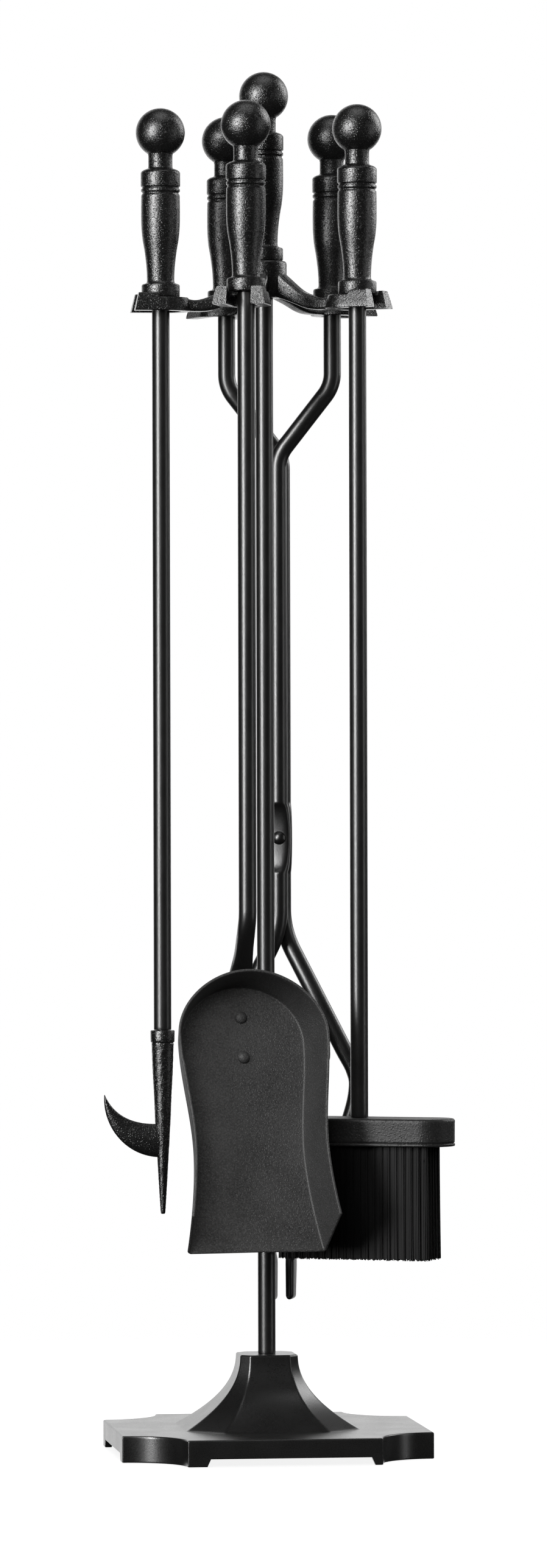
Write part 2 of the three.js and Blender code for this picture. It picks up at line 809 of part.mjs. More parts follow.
/** The middle line of one arm: handle on the right, jaw on the left, x across and z up. */
function tongArmLine() {
  const point = (x, z) => new THREE.Vector3(x, 0, z);
  const upper = roundedPath(
    [
      point(TONGS.handle, FOOT_Z - GAP),
      point(TONGS.handle, TONGS.shoulder),
      point(0, TONGS.join),
      point(0, TONGS.pivot + TONGS.paddle.end + 2),
    ],
    TONGS.bend,
  );
  const { flat, end } = TONGS.paddle;
  const paddle = [end, 20, 16, flat, 6, 0, -6, -flat, -16, -20, -end].map((dz) => {
    return point(0, TONGS.pivot + dz);
  });
  const slope = Math.tan(degToRad(28.3));
  const parting = point(0, TONGS.part);
  const lower = roundedPath(
    [point(0, TONGS.part + 18), parting, point(-68 * slope, TONGS.part - 68)],
    13,
  );
  const bow = new THREE.CatmullRomCurve3([
    point(-37.6, 230.7),
    point(-42.6, 219),
    point(-44, 208),
    point(-40.5, 190),
    point(-29, 159),
    point(-14.5, 128),
    point(-6.2, 113),
  ]);
  const { claw, clawTop, clawEnd } = TONGS;
  const claws = [clawTop, lerp(clawTop, clawEnd, 0.5), clawEnd].map((z) => point(-claw.u, z));
  return [...upper, ...paddle, ...lower, ...bow.getPoints(22), ...claws];
}

/** How far a round rod of the arm is flattened round the pivot, and how far in the claw. */
function tongSection(at) {
  const { paddle, claw, clawTop, clawEnd } = TONGS;
  const fromPivot = Math.abs(at.z - TONGS.pivot);
  if (fromPivot < paddle.end) {
    const t = smoothstep(fromPivot, paddle.flat, paddle.end - 3);
    return {
      half: [lerp(paddle.thick, ROD.radius, t), lerp(paddle.half, ROD.radius, t)],
      power: lerp(3.2, 2, t),
    };
  }
  const t = 1 - smoothstep(at.z, clawTop, clawTop + 14);
  if (t > 0) {
    const s = 1 - smoothstep(at.z, clawEnd, clawTop);
    return {
      half: [
        lerp(ROD.radius, lerp(claw.half[1], claw.endHalf[1], s), t),
        lerp(ROD.radius, lerp(claw.half[0], claw.endHalf[0], s), t),
      ],
      power: lerp(2, 4, t),
    };
  }
  return { half: [ROD.radius, ROD.radius], power: 2 };
}

/** The arm that lies nearer the pole; turned half round it is the other arm too. */
function tongArm() {
  const stations = tongArmLine().map((at) => {
    const section = tongSection(at);
    const apart = smoothstep(Math.abs(at.x), 4, 16);
    const layer = -(section.half[0] + TONGS.layer);
    return { at: at.clone().setY(layer * (1 - apart)), ...section };
  });
  const shoulder = stations[0].at;
  const spigot = { half: [ROD.spigot, ROD.spigot], power: 2 };
  const tip = shoulder.clone().setZ(shoulder.z + ROD.spigotLength);
  stations.unshift({ at: tip, ...spigot }, { at: shoulder.clone(), ...spigot });
  const hole = cylinder(2.8, -12, 12, 16).rotateX(Math.PI / 2).translate(0, 0, TONGS.pivot);
  return geometryOf(solid(sweep(stations, AXIS_Y)).subtract(solid(hole)));
}

/** The rivet that the two arms turn on, headed at both ends. */
function tongRivet() {
  const face = 2 * TONGS.paddle.thick + TONGS.layer + GAP;
  const halfProfile = [
    [3, face + 1.3],
    [4, face],
    [2.5, face],
  ];
  const lower = halfProfile.map(([r, z]) => [r, -z]);
  const upper = [...halfProfile].reverse();
  return turned([[0, -face - 1.6], ...lower, ...upper, [0, face + 1.6]], 20)
    .rotateX(Math.PI / 2)
    .translate(0, 0, TONGS.pivot);
}

function tongsGroup() {
  const group = stationGroup("tongs", TONGS.offset, TONGS.bearing);
  group.rotation.z = degToRad(TONGS.bearing - 90);
  const sides = { right: 0, left: Math.PI };
  for (const [side, turn] of Object.entries(sides)) {
    const grip = addPart(group, `tongs_handle_${side}`, handleAt(FOOT_Z), castPaint());
    grip.position.x = TONGS.handle * Math.cos(turn);
    const arm = addPart(group, `tongs_arm_${side}_handle`, tongArm(), rodPaint());
    arm.rotation.z = turn;
  }
  addPart(group, "tongs_rivet", tongRivet(), rodPaint());
  return group;
}

// --------------------------------------------------------------- the set

const toolSet = new THREE.Group();
toolSet.name = "fireplace_tool_set";
toolSet.add(standGroup(), pokerGroup(), shovelGroup(), brushGroup(), tongsGroup());
toolSet.position.set(-CENTRE.x, -CENTRE.y, 0);

export default toolSet;
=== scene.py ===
"""Looks of a fireplace tool set: a stand with a poker, a shovel, a brush and scissor tongs.

Shapes are worked out in millimetres and become metres when a mesh is made.
"""

import logging
import math
from dataclasses import dataclass
from enum import Enum
from typing import Any, Iterable, Optional, Sequence, Union

import bmesh
import bpy
import numpy as np
from mathutils import Matrix, Vector

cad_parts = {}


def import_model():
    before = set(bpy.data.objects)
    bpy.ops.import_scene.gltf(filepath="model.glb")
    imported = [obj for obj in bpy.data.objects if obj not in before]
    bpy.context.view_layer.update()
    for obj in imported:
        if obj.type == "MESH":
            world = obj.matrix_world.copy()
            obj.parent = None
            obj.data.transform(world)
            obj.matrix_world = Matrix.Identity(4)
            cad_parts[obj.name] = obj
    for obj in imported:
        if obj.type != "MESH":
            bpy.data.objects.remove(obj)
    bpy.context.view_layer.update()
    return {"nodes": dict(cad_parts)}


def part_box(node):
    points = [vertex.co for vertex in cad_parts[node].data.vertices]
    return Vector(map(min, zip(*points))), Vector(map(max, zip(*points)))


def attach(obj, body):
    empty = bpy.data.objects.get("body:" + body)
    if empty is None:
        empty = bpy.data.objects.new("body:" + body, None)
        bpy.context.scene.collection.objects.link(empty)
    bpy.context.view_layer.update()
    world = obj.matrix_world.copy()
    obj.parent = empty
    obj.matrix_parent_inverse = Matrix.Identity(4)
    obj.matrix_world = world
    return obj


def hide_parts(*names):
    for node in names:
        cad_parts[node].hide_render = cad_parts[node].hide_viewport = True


LOG = logging.getLogger("tool_set")
MM = 0.001  # a millimetre in metres
GAP = 0.2  # clearance where a rod meets its neighbours
FOOT_Z = 658.9  # where the handles' feet stand in the hooks
ROD_TOP = FOOT_Z - GAP
ROD_RADIUS = 5.0
SPIGOT_RADIUS = 3.0
SPIGOT_LENGTH = 24.0


class Slot(Enum):
    """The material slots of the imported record."""

    BASE = "base_paint"
    CAST = "cast_paint"
    ROD = "rod_paint"
    SHEET = "sheet_paint"
    STEEL = "fastener_steel"
    BLOCK = "block_plastic"
    FIBRE = "bristle_fibre"


class Body(Enum):
    """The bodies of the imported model."""

    STAND = "stand"
    POKER = "poker"
    SHOVEL = "shovel"
    BRUSH = "brush"
    TONGS_RIGHT = "tongs_right_arm"
    TONGS_LEFT = "tongs_left_arm"


# ------------------------------------------------------------ shader maths


class Wire:
    """A shader socket that takes part in Python sums, each sum adding a Math node."""

    def __init__(self, tree: "NodeTree", socket: Optional[bpy.types.NodeSocket]) -> None:
        """Wraps a socket of a tree, or None for a node that has no output."""
        self.tree = tree
        self.socket = socket

    def _math(self, operation: str, first: Any, second: Any) -> "Wire":
        """One Math node over two values or wires."""
        return self.tree.add("ShaderNodeMath", {"operation": operation}, {0: first, 1: second})

    def __add__(self, other: Any) -> "Wire":
        """Sum."""
        return self._math("ADD", self, other)

    def __radd__(self, other: Any) -> "Wire":
        """Sum, reflected."""
        return self._math("ADD", other, self)

    def __sub__(self, other: Any) -> "Wire":
        """Difference."""
        return self._math("SUBTRACT", self, other)

    def __rsub__(self, other: Any) -> "Wire":
        """Difference, reflected."""
        return self._math("SUBTRACT", other, self)

    def __mul__(self, other: Any) -> "Wire":
        """Product."""
        return self._math("MULTIPLY", self, other)

    def __rmul__(self, other: Any) -> "Wire":
        """Product, reflected."""
        return self._math("MULTIPLY", other, self)

    def between(self, low: float, high: float) -> "Wire":
        """0 below low, 1 above high and a straight ramp between them."""
        return self.tree.add(
            "ShaderNodeMapRange", {"clamp": True}, {0: self, 1: low, 2: high, 3: 0.0, 4: 1.0}
        )


class NodeTree:
    """A material's or world's nodes, all added by one method."""

    def __init__(self, owner: Union[bpy.types.Material, bpy.types.World]) -> None:
        """Empties the owner's node tree and keeps it.

        Args:
            owner: the material or world whose nodes are made.
        """
        owner.use_nodes = True
        self.nodes = owner.node_tree.nodes
        self.links = owner.node_tree.links
        self.nodes.clear()

    def add(
        self,
        kind: str,
        settings: Optional[dict[str, Any]] = None,
        inputs: Optional[dict[Union[int, str], Any]] = None,
        output: Union[int, str] = 0,
    ) -> Wire:
        """Adds one node.

        Args:
            kind: the node's type.
            settings: properties that are set before the sockets.
            inputs: values or wires, by socket number or name.
            output: the socket that the returned wire holds.

        Returns:
            A wire on the chosen output.
        """
        node = self.nodes.new(kind)
        for name, value in (settings or {}).items():
            setattr(node, name, value)
        for key, value in (inputs or {}).items():
            if isinstance(value, Wire):
                self.links.new(value.socket, node.inputs[key])
            else:
                node.inputs[key].default_value = value
        return Wire(self, node.outputs[output] if len(node.outputs) else None)

    def noise(self, place: Wire, scale: float, detail: float = 2.0, rough: float = 0.5) -> Wire:
        """Fractal noise from 0 to 1 with `scale` cells to the metre."""
        values = {"Vector": place, "Scale": scale, "Detail": detail, "Roughness": rough}
        return self.add("ShaderNodeTexNoise", {}, values)

    def blend(self, share: Any, first: Any, second: Any) -> Wire:
        """A colour between two colours or colour wires."""
        inputs = {0: share, 6: first, 7: second}
        return self.add("ShaderNodeMix", {"data_type": "RGBA"}, inputs, output=2)

    def stretched(self, place: Wire, scale: tuple[float, float, float]) -> Wire:
        """A place scaled along each axis, which squeezes or draws out a pattern on it."""
        return self.add("ShaderNodeMapping", {}, {"Vector": place, "Scale": scale})

    def bump(self, height: Wire, depth: float, strength: float) -> Wire:
        """A normal tilted by a height that is counted in steps of `depth` millimetres."""
        values = {"Strength": strength, "Distance": depth * MM, "Height": height}
        return self.add("ShaderNodeBump", {}, values)


def grey(value: float, warmth: float = 0.0) -> tuple[float, float, float, float]:
    """An opaque grey, a little redder with warmth."""
    return (value * (1 + warmth), value, value * (1 - warmth), 1.0)


@dataclass(frozen=True)
class Finish:
    """What every finish shares: a name, and one Principled shader on Object coordinates."""

    name: str

    def surface(self, tree: NodeTree, place: Wire) -> dict[str, Any]:
        """What the shader's sockets get; each finish says its own.

        Args:
            tree: the material's nodes.
            place: Object coordinates.

        Returns:
            Values and wires by the sockets' names.
        """
        raise NotImplementedError

    def build(self) -> bpy.types.Material:
        """Makes the material.

        Returns:
            The finished material.
        """
        material = bpy.data.materials.new(self.name)
        tree = NodeTree(material)
        values = self.surface(tree, tree.add("ShaderNodeTexCoord", output="Object"))
        shader = tree.add("ShaderNodeBsdfPrincipled", {}, values)
        tree.add("ShaderNodeOutputMaterial", {}, {"Surface": shader})
        return material


@dataclass(frozen=True)
class Paint(Finish):
    """A black coat over metal: its colour, how rough it is and how its surface is broken up."""

    dark: float
    light: float
    smooth: float
    rough: float
    grain: float
    relief: float
    strength: float = 1.0
    speck: float = 0.0
    speck_scale: float = 900.0
    specular: float = 0.5
    warmth: float = 0.01
    broad_ratio: float = 28.0
    peaks: tuple[float, float] = (0.62, 0.86)

    def surface(self, tree: NodeTree, place: Wire) -> dict[str, Any]:
        """Colour, roughness and relief, all driven by one grain.

        The grain is seven parts of a fine noise and three of a slower one, which makes the coat
        thinner and thicker; specks are the peaks of a cell pattern.

        Args:
            tree: the material's nodes.
            place: Object coordinates.

        Returns:
            Values and wires by the sockets' names.
        """
        fine = tree.noise(place, self.grain, detail=3.0, rough=0.6)
        broad = tree.noise(place, self.grain / self.broad_ratio, detail=2.0)
        cells = tree.add(
            "ShaderNodeTexVoronoi", {"feature": "F1"}, {"Vector": place, "Scale": self.speck_scale}
        )
        specks = (1.0 - cells).between(*self.peaks) * self.speck
        grain = fine.between(0.3, 0.7) * 0.7 + broad.between(0.3, 0.7) * 0.3
        dark, light = grey(self.dark, self.warmth), grey(self.light, self.warmth)
        return {
            "Base Color": tree.blend(grain + specks, dark, light),
            "Roughness": self.smooth + grain * (self.rough - self.smooth),
            "Specular IOR Level": self.specular,
            "Normal": tree.bump(fine + specks * 0.8 + broad * 0.5, self.relief, self.strength),
        }


@dataclass(frozen=True)
class Steel(Finish):
    """Plain turned steel with fine rings round its axis."""

    colour: float
    roughness: float

    def surface(self, tree: NodeTree, place: Wire) -> dict[str, Any]:
        """Noise squeezed flat along Z reads as turning marks.

        Args:
            tree: the material's nodes.
            place: Object coordinates.

        Returns:
            Values and wires by the sockets' names.
        """
        rings = tree.noise(tree.stretched(place, (40.0, 40.0, 1800.0)), 3.0, detail=4.0)
        stain = tree.noise(place, 220.0)
        return {
            "Base Color": tree.blend(stain, grey(self.colour * 0.8), grey(self.colour)),
            "Metallic": 1.0,
            "Roughness": self.roughness + stain * 0.2,
            "Normal": tree.bump(rings, depth=0.03, strength=0.4),
        }


@dataclass(frozen=True)
class Fibre(Finish):
    """Black synthetic bristle: each filament a little lighter or darker, streaked lengthwise."""

    dark: float
    light: float

    def surface(self, tree: NodeTree, place: Wire) -> dict[str, Any]:
        """Noise that is fine across the bristles and slow along Z.

        Args:
            tree: the material's nodes.
            place: Object coordinates.

        Returns:
            Values and wires by the sockets' names.
        """
        streak = tree.noise(tree.stretched(place, (900.0, 900.0, 30.0)), 1.0, detail=3.0)
        return {
            "Base Color": tree.blend(streak, grey(self.dark), grey(self.light)),
            "Roughness": 0.45 + streak * 0.25,
            "Specular IOR Level": 0.1,
            "Normal": tree.bump(streak, depth=0.1, strength=0.6),
        }


FINISHES: dict[Slot, Finish] = {
    Slot.BASE: Paint(
        "satin_base_paint", dark=0.006, light=0.013, smooth=0.25, rough=0.36,
        grain=1500, relief=0.06, strength=0.5, speck=0.15,
    ),
    Slot.CAST: Paint(
        "gloss_cast_paint", dark=0.002, light=0.010, smooth=0.20, rough=0.32,
        grain=1300, relief=0.19, strength=1.0, speck=0.6, speck_scale=1000,
    ),
    Slot.ROD: Paint(
        "satin_rod_paint", dark=0.004, light=0.011, smooth=0.27, rough=0.38,
        grain=2200, relief=0.07, strength=0.8, speck=0.1,
    ),
    Slot.SHEET: Paint(
        "powder_coat", dark=0.014, light=0.060, smooth=0.50, rough=0.66,
        grain=1100, relief=0.30, strength=0.8, speck=0.7, speck_scale=800, specular=0.35,
    ),
    Slot.BLOCK: Paint(
        "moulded_block", dark=0.004, light=0.014, smooth=0.42, rough=0.58,
        grain=900, relief=0.25, strength=0.8, speck=0.5, speck_scale=700, specular=0.3,
    ),
    Slot.STEEL: Steel("plain_steel", colour=0.55, roughness=0.28),
    Slot.FIBRE: Fibre("bristle_fibre", dark=0.001, light=0.004),
}


class Finishes:
    """The finished materials, made once each."""

    def __init__(self) -> None:
        """Starts with none made."""
        self._made: dict[Slot, bpy.types.Material] = {}

    def get(self, slot: Slot) -> bpy.types.Material:
        """The material of a slot.

        Args:
            slot: the material slot.

        Returns:
            Its material, made on the first call.
        """
        if slot not in self._made:
            self._made[slot] = FINISHES[slot].build()
        return self._made[slot]


# ------------------------------------------------------------------ shapes


def ease(values: np.ndarray, low: float, high: float) -> np.ndarray:
    """A smooth step from 0 at low to 1 at high: 3t² − 2t³."""
    t = np.clip((values - low) / (high - low), 0, 1)
    return t * t * (3 - 2 * t)


def mix(first: Any, second: Any, share: Any) -> Any:
    """Straight-line mix of two values."""
    return first + (second - first) * share


def spline(points: Sequence[Sequence[float]], count: int) -> np.ndarray:
    """A smooth curve through points: a Catmull-Rom cubic on each stretch.

    Args:
        points: the points it passes, each with any number of coordinates.
        count: how many samples to take.

    Returns:
        The samples, evenly spaced in the curve's own parameter.
    """
    knots = np.asarray(points, float)
    padded = np.vstack([2 * knots[0] - knots[1], knots, 2 * knots[-1] - knots[-2]])
    t = np.linspace(0, len(knots) - 1, count)
    i = np.minimum(t.astype(int), len(knots) - 2)
    f = (t - i)[:, None]
    a, b, c, d = padded[i], padded[i + 1], padded[i + 2], padded[i + 3]
    cubic = (3 * b - a - 3 * c + d) * f**3 + (2 * a - 5 * b + 4 * c - d) * f**2
    return (cubic + (c - a) * f + 2 * b) / 2


def bezier(points: Sequence[Sequence[float]], t: np.ndarray) -> np.ndarray:
    """A Bezier curve of any degree: the Bernstein sum of its points.

    Args:
        points: the control points.
        t: where on the curve, from 0 to 1.

    Returns:
        The curve's points.
    """
    ctrl = np.asarray(points, float)
    n = len(ctrl) - 1
    weights = np.stack([math.comb(n, k) * t**k * (1 - t) ** (n - k) for k in range(n + 1)], -1)
    return weights @ ctrl


def rounded_path(corners: Sequence[Sequence[float]], cut: float, steps: int = 8) -> np.ndarray:
    """Straight runs whose corners are replaced by quadratic curves.

    Args:
        corners: the corner points.
        cut: how far along both runs a corner is rounded.
        steps: how many stretches each bend has.

    Returns:
        The points of the path.
    """
    points = np.asarray(corners, float)
    runs = [points[:1]]
    for before, corner, after in zip(points[:-2], points[1:-1], points[2:]):
        enter = corner + (before - corner) * (cut / np.linalg.norm(before - corner))
        leave = corner + (after - corner) * (cut / np.linalg.norm(after - corner))
        runs.append(bezier([enter, corner, leave], np.linspace(0, 1, steps + 1)))
    runs.append(points[-1:])
    return np.vstack(runs)


def arc(centre: Sequence[float], radius: float, start: float, end: float, count: int) -> np.ndarray:
    """Points on a circle's arc, in degrees.

    Args:
        centre: the middle of the circle.
        radius: its radius.
        start: the first angle.
        end: the last angle.
        count: how many points.

    Returns:
        The points.
    """
    angle = np.radians(np.linspace(start, end, count))
    circle = np.stack([np.cos(angle), np.sin(angle)], -1)
    return np.asarray(centre, float) + radius * circle


def dome(height: float, radius: float, start: float, count: int) -> np.ndarray:
    """A profile's arc about a point on the axis, from an angle up to the axis itself.

    Args:
        height: the height of the arc's centre.
        radius: its radius.
        start: the first angle, in degrees above level.
        count: how many points.

    Returns:
        Points of (radius, height).
    """
    curve = arc((0, height), radius, start, 90, count)
    curve[-1, 0] = 0
    return curve


def superellipse(angle: np.ndarray, across: Any, along: Any) -> tuple[np.ndarray, np.ndarray]:
    """The cosine and the sine of an angle, each to its own power with its sign kept."""
    cos, sin = np.cos(angle), np.sin(angle)
    return np.sign(cos) * np.abs(cos) ** across, np.sign(sin) * np.abs(sin) ** along


def lathe(profile: np.ndarray, sides: int = 96) -> np.ndarray:
    """A profile of (radius, height) turned about Z: x = r cos a, y = r sin a.

    Args:
        profile: points of (radius, height).
        sides: points in a ring.

    Returns:
        A grid with one ring for each point of the profile.
    """
    angle = np.linspace(0, 2 * math.pi, sides, endpoint=False)
    r, z = profile[:, :1], profile[:, 1:]
    return np.stack([r * np.cos(angle), r * np.sin(angle), z + 0 * angle], -1)


def sweep(
    path: np.ndarray,
    half: np.ndarray,
    power: Any = 2.0,
    across: Sequence[float] = (0, 1, 0),
    sides: int = 48,
) -> np.ndarray:
    """A superellipse carried along a path whose `across` axis stays fixed.

    A ring's point is path + across·a·c + other·b·s, where c and s are the cosine and sine of its
    angle raised to 2/power with their sign kept, and other is across × tangent.

    Args:
        path: the middle line.
        half: half sizes along `across` and along the other axis, for each station.
        power: 2 for an ellipse, more for a boxier section.
        across: the fixed cross axis.
        sides: points in a ring.

    Returns:
        A grid of points, one row for each station.
    """
    tangent = np.gradient(path, axis=0)
    tangent[0], tangent[-1] = path[1] - path[0], path[-1] - path[-2]
    flat = np.linalg.norm(tangent, axis=1) < 1e-9
    tangent[flat] = np.roll(tangent, -1, axis=0)[flat]
    axis = np.asarray(across, float)
    other = np.cross(axis, tangent)
    other /= np.linalg.norm(other, axis=1, keepdims=True)
    angle = 2 * math.pi * (np.arange(sides) + 0.5) / sides
    exponent = 2 / (np.asarray(power, float) * np.ones(len(path)))[:, None]
    c, s = superellipse(angle, exponent, exponent)
    along = (half[:, :1] * c)[..., None] * axis
    beside = (half[:, 1:] * s)[..., None] * other[:, None, :]
    return path[:, None, :] + along + beside


def moved(points: np.ndarray, matrix: Matrix) -> np.ndarray:
    """Points turned and shifted by a 4×4 matrix."""
    m = np.array(matrix)
    return points @ m[:3, :3].T + m[:3, 3]


def turn_z(degrees: float, x: float = 0.0, y: float = 0.0, z: float = 0.0) -> Matrix:
    """A turn about Z followed by a shift."""
    return Matrix.Translation((x, y, z)) @ Matrix.Rotation(math.radians(degrees), 4, "Z")


def axis_of(node: str) -> tuple[float, float]:
    """Where the middle of a CAD node's box stands on the floor, in millimetres."""
    low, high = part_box(node)
    return (low.x + high.x) / 2 / MM, (low.y + high.y) / 2 / MM


def within_corners(points: np.ndarray, half: np.ndarray, radius: float) -> np.ndarray:
    """Draws plan points back inside a rectangle with round corners.

    Past a corner's centre a point is pulled towards it until it lies within the radius.

    Args:
        points: plan points, the last axis being x and y.
        half: the rectangle's half length and half width, broadcast against the points.
        radius: the corners' radius.

    Returns:
        The points, moved only where they stood outside.
    """
    held = np.clip(points, -half, half)
    centre = half - radius
    beyond = np.maximum(np.abs(held) - centre, 0)
    length = np.linalg.norm(beyond, axis=-1, keepdims=True)
    pull = np.minimum(1, radius / np.maximum(length, 1e-9))
    drawn = np.sign(held) * (np.minimum(np.abs(held), centre) + beyond * pull)
    return np.where((beyond > 0).all(-1, keepdims=True), drawn, held)


class Shell:
    """Grids of points gathered into the mesh of one piece."""

    def __init__(self) -> None:
        """Starts empty."""
        self._points: list[np.ndarray] = []
        self._faces: list[list[int]] = []
        self._count = 0

    def add(
        self, points: np.ndarray, wrap_rows: bool = False, wrap_columns: bool = True, cap: bool = True
    ) -> "Shell":
        """Adds one grid, or many of one shape at once.

        Args:
            points: shape (rows, columns, 3), or (copies, rows, columns, 3).
            wrap_rows: the last row joins the first.
            wrap_columns: the last column joins the first.
            cap: the first and last rows are filled with a face.

        Returns:
            This shell.
        """
        grids = points[None] if points.ndim == 3 else points
        copies, rows, columns = grids.shape[:3]
        index = self._count + np.arange(copies * rows * columns).reshape(copies, rows, columns)
        ring = np.concatenate([index, index[:, :1]], 1) if wrap_rows else index
        ring = np.concatenate([ring, ring[:, :, :1]], 2) if wrap_columns else ring
        quads = np.stack([ring[:, :-1, :-1], ring[:, :-1, 1:], ring[:, 1:, 1:], ring[:, 1:, :-1]], -1)
        self._faces += quads.reshape(-1, 4).tolist()
        if cap and not wrap_rows:
            self._faces += index[:, 0, ::-1].tolist() + index[:, -1].tolist()
        self._points.append(grids.reshape(-1, 3))
        self._count += copies * rows * columns
        return self

    def build(self, name: str, slot: Slot, finishes: Finishes, sharp: float = 40.0) -> bpy.types.Object:
        """Makes the piece: doubles merged, faces turned outwards, shading smooth.

        Args:
            name: the piece's name.
            slot: the material slot it takes its finish from.
            finishes: the materials.
            sharp: edges that bend more than this many degrees stay sharp.

        Returns:
            The piece, at the origin.
        """
        mesh = bpy.data.meshes.new(name)
        mesh.from_pydata((np.vstack(self._points) * MM).tolist(), [], self._faces)
        work = bmesh.new()
        work.from_mesh(mesh)
        bmesh.ops.remove_doubles(work, verts=work.verts, dist=2e-6)
        bmesh.ops.dissolve_degenerate(work, dist=1e-7, edges=work.edges)
        bmesh.ops.recalc_face_normals(work, faces=work.faces)
        work.to_mesh(mesh)
        work.free()
        mesh.shade_smooth()
        mesh.set_sharp_from_angle(angle=math.radians(sharp))
        mesh.materials.append(finishes.get(slot))
        piece = bpy.data.objects.new(name, mesh)
        bpy.context.scene.collection.objects.link(piece)
        return piece


@dataclass
class Maker:
    """Shared by every sub-assembly: dresses its pieces and hands them to the frame."""

    finishes: Finishes

    def place(self, piece: bpy.types.Object, body: Body, *nodes: str) -> bpy.types.Object:
        """Lets a piece ride on a body in place of CAD nodes.

        Args:
            piece: the finished piece.
            body: the body it moves with.
            nodes: the CAD nodes it stands for.

        Returns:
            The piece.
        """
        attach(piece, body.value)
        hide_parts(*nodes)
        LOG.info("%s on %s, %d faces", piece.name, body.value, len(piece.data.polygons))
        return piece

    def make(
        self, shell: Shell, name: str, slot: Slot, body: Body, node: str, sharp: float = 40.0
    ) -> bpy.types.Object:
        """Makes a shell's piece and places it.

        Args:
            shell: the piece's grids.
            name: the piece's name.
            slot: the material slot.
            body: the body it moves with.
            node: the CAD node it stands for.
            sharp: edges that bend more than this many degrees stay sharp.

        Returns:
            The piece.
        """
        return self.place(shell.build(name, slot, self.finishes, sharp), body, node)

    def lathed(
        self, name: str, profile: np.ndarray, slot: Slot, body: Body, node: str, sides: int = 96
    ) -> bpy.types.Object:
        """A turned piece that stands upright on its CAD node's axis.

        Args:
            name: the piece's name.
            profile: points of (radius, height).
            slot: the material slot.
            body: the body it moves with.
            node: the CAD node it stands for.
            sides: points in a ring.

        Returns:
            The piece.
        """
        here = Matrix.Translation((*axis_of(node), 0))
        shell = Shell().add(moved(lathe(profile, sides), here), cap=False)
        return self.make(shell, name, slot, body, node)

    def rod(
        self,
        name: str,
        node: str,
        body: Body,
        bottom: float,
        top: float,
        lower: float = 0.0,
        upper: float = SPIGOT_LENGTH,
    ) -> bpy.types.Object:
        """A straight bar with a thin spigot at each end and softened shoulders.

        Args:
            name: the piece's name.
            node: the CAD node it stands for.
            body: the body it moves with.
            bottom: the height of its lower shoulder.
            top: the height of its upper shoulder.
            lower: how long the lower spigot is.
            upper: how long the upper spigot is.

        Returns:
            The piece.
        """
        radius, spigot, soft = ROD_RADIUS, SPIGOT_RADIUS, 0.4
        profile = [
            (0, bottom - lower), (spigot, bottom - lower), (spigot, bottom), (radius - soft, bottom),
            (radius - 0.1, bottom + 0.1), (radius, bottom + soft), (radius, bottom + 2),
            (radius, top - 2), (radius, top - soft), (radius - 0.1, top - 0.1), (radius - soft, top),
            (spigot, top), (spigot, top + upper), (0, top + upper),
        ]
        return self.lathed(name, np.array(profile, float), Slot.ROD, body, node, sides=64)


@dataclass
class BallHandle(Maker):
    """The turned handle with a ball end that every tool and the stand share."""

    ball: float = 14.0
    ball_centre: float = 93.8
    neck: float = 6.9
    foot: float = 10.9
    bore: float = 3.3
    bore_depth: float = 27.0

    def profile(self) -> np.ndarray:
        """(radius, height) from the bore over the foot, the swelling grip and the ring to the ball.

        Returns:
            The profile's points.
        """
        foot = [
            (0, self.bore_depth), (self.bore, self.bore_depth), (self.bore, 0), (self.foot - 0.7, 0),
            (self.foot - 0.2, 0.2), (self.foot, 0.7), (self.foot, 6.4), (self.foot - 0.25, 7.1),
            (self.foot - 0.9, 7.45), (8.7, 7.8), (7.95, 8.5),
        ]
        grip = spline(
            [(7.8, 9.6), (7.95, 14.5), (8.35, 19.7), (9.25, 26.7), (10.4, 33.6), (11, 41), (11.1, 50),
             (11, 57.5)], 48,
        )
        ring = [
            (10.9, 58.3), (10.4, 58.8), (10.3, 59.2), (10.5, 59.7), (11, 60.1), (11.1, 60.5),
            (11.1, 61.3), (11, 61.6), (10.5, 61.9), (10.4, 62.3), (10.7, 62.8), (11.15, 63.1),
            (11.25, 63.6), (11.25, 70.6), (11.1, 71.2), (10.5, 71.9), (9.6, 72.5), (7.6, 73.2),
            (7, 73.7), (self.neck, 74.6), (self.neck, 80.6),
        ]
        start = math.degrees(math.asin(self.neck / self.ball)) - 90
        return np.vstack([foot, grip, ring, dome(self.ball_centre, self.ball, start + 1.5, 56)])

    def build(self, node: str, body: Body) -> None:
        """Stands a handle where its CAD node stands."""
        profile = self.profile() + (0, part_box(node)[0].z / MM)
        self.lathed(node + "_turned", profile, Slot.CAST, body, node)


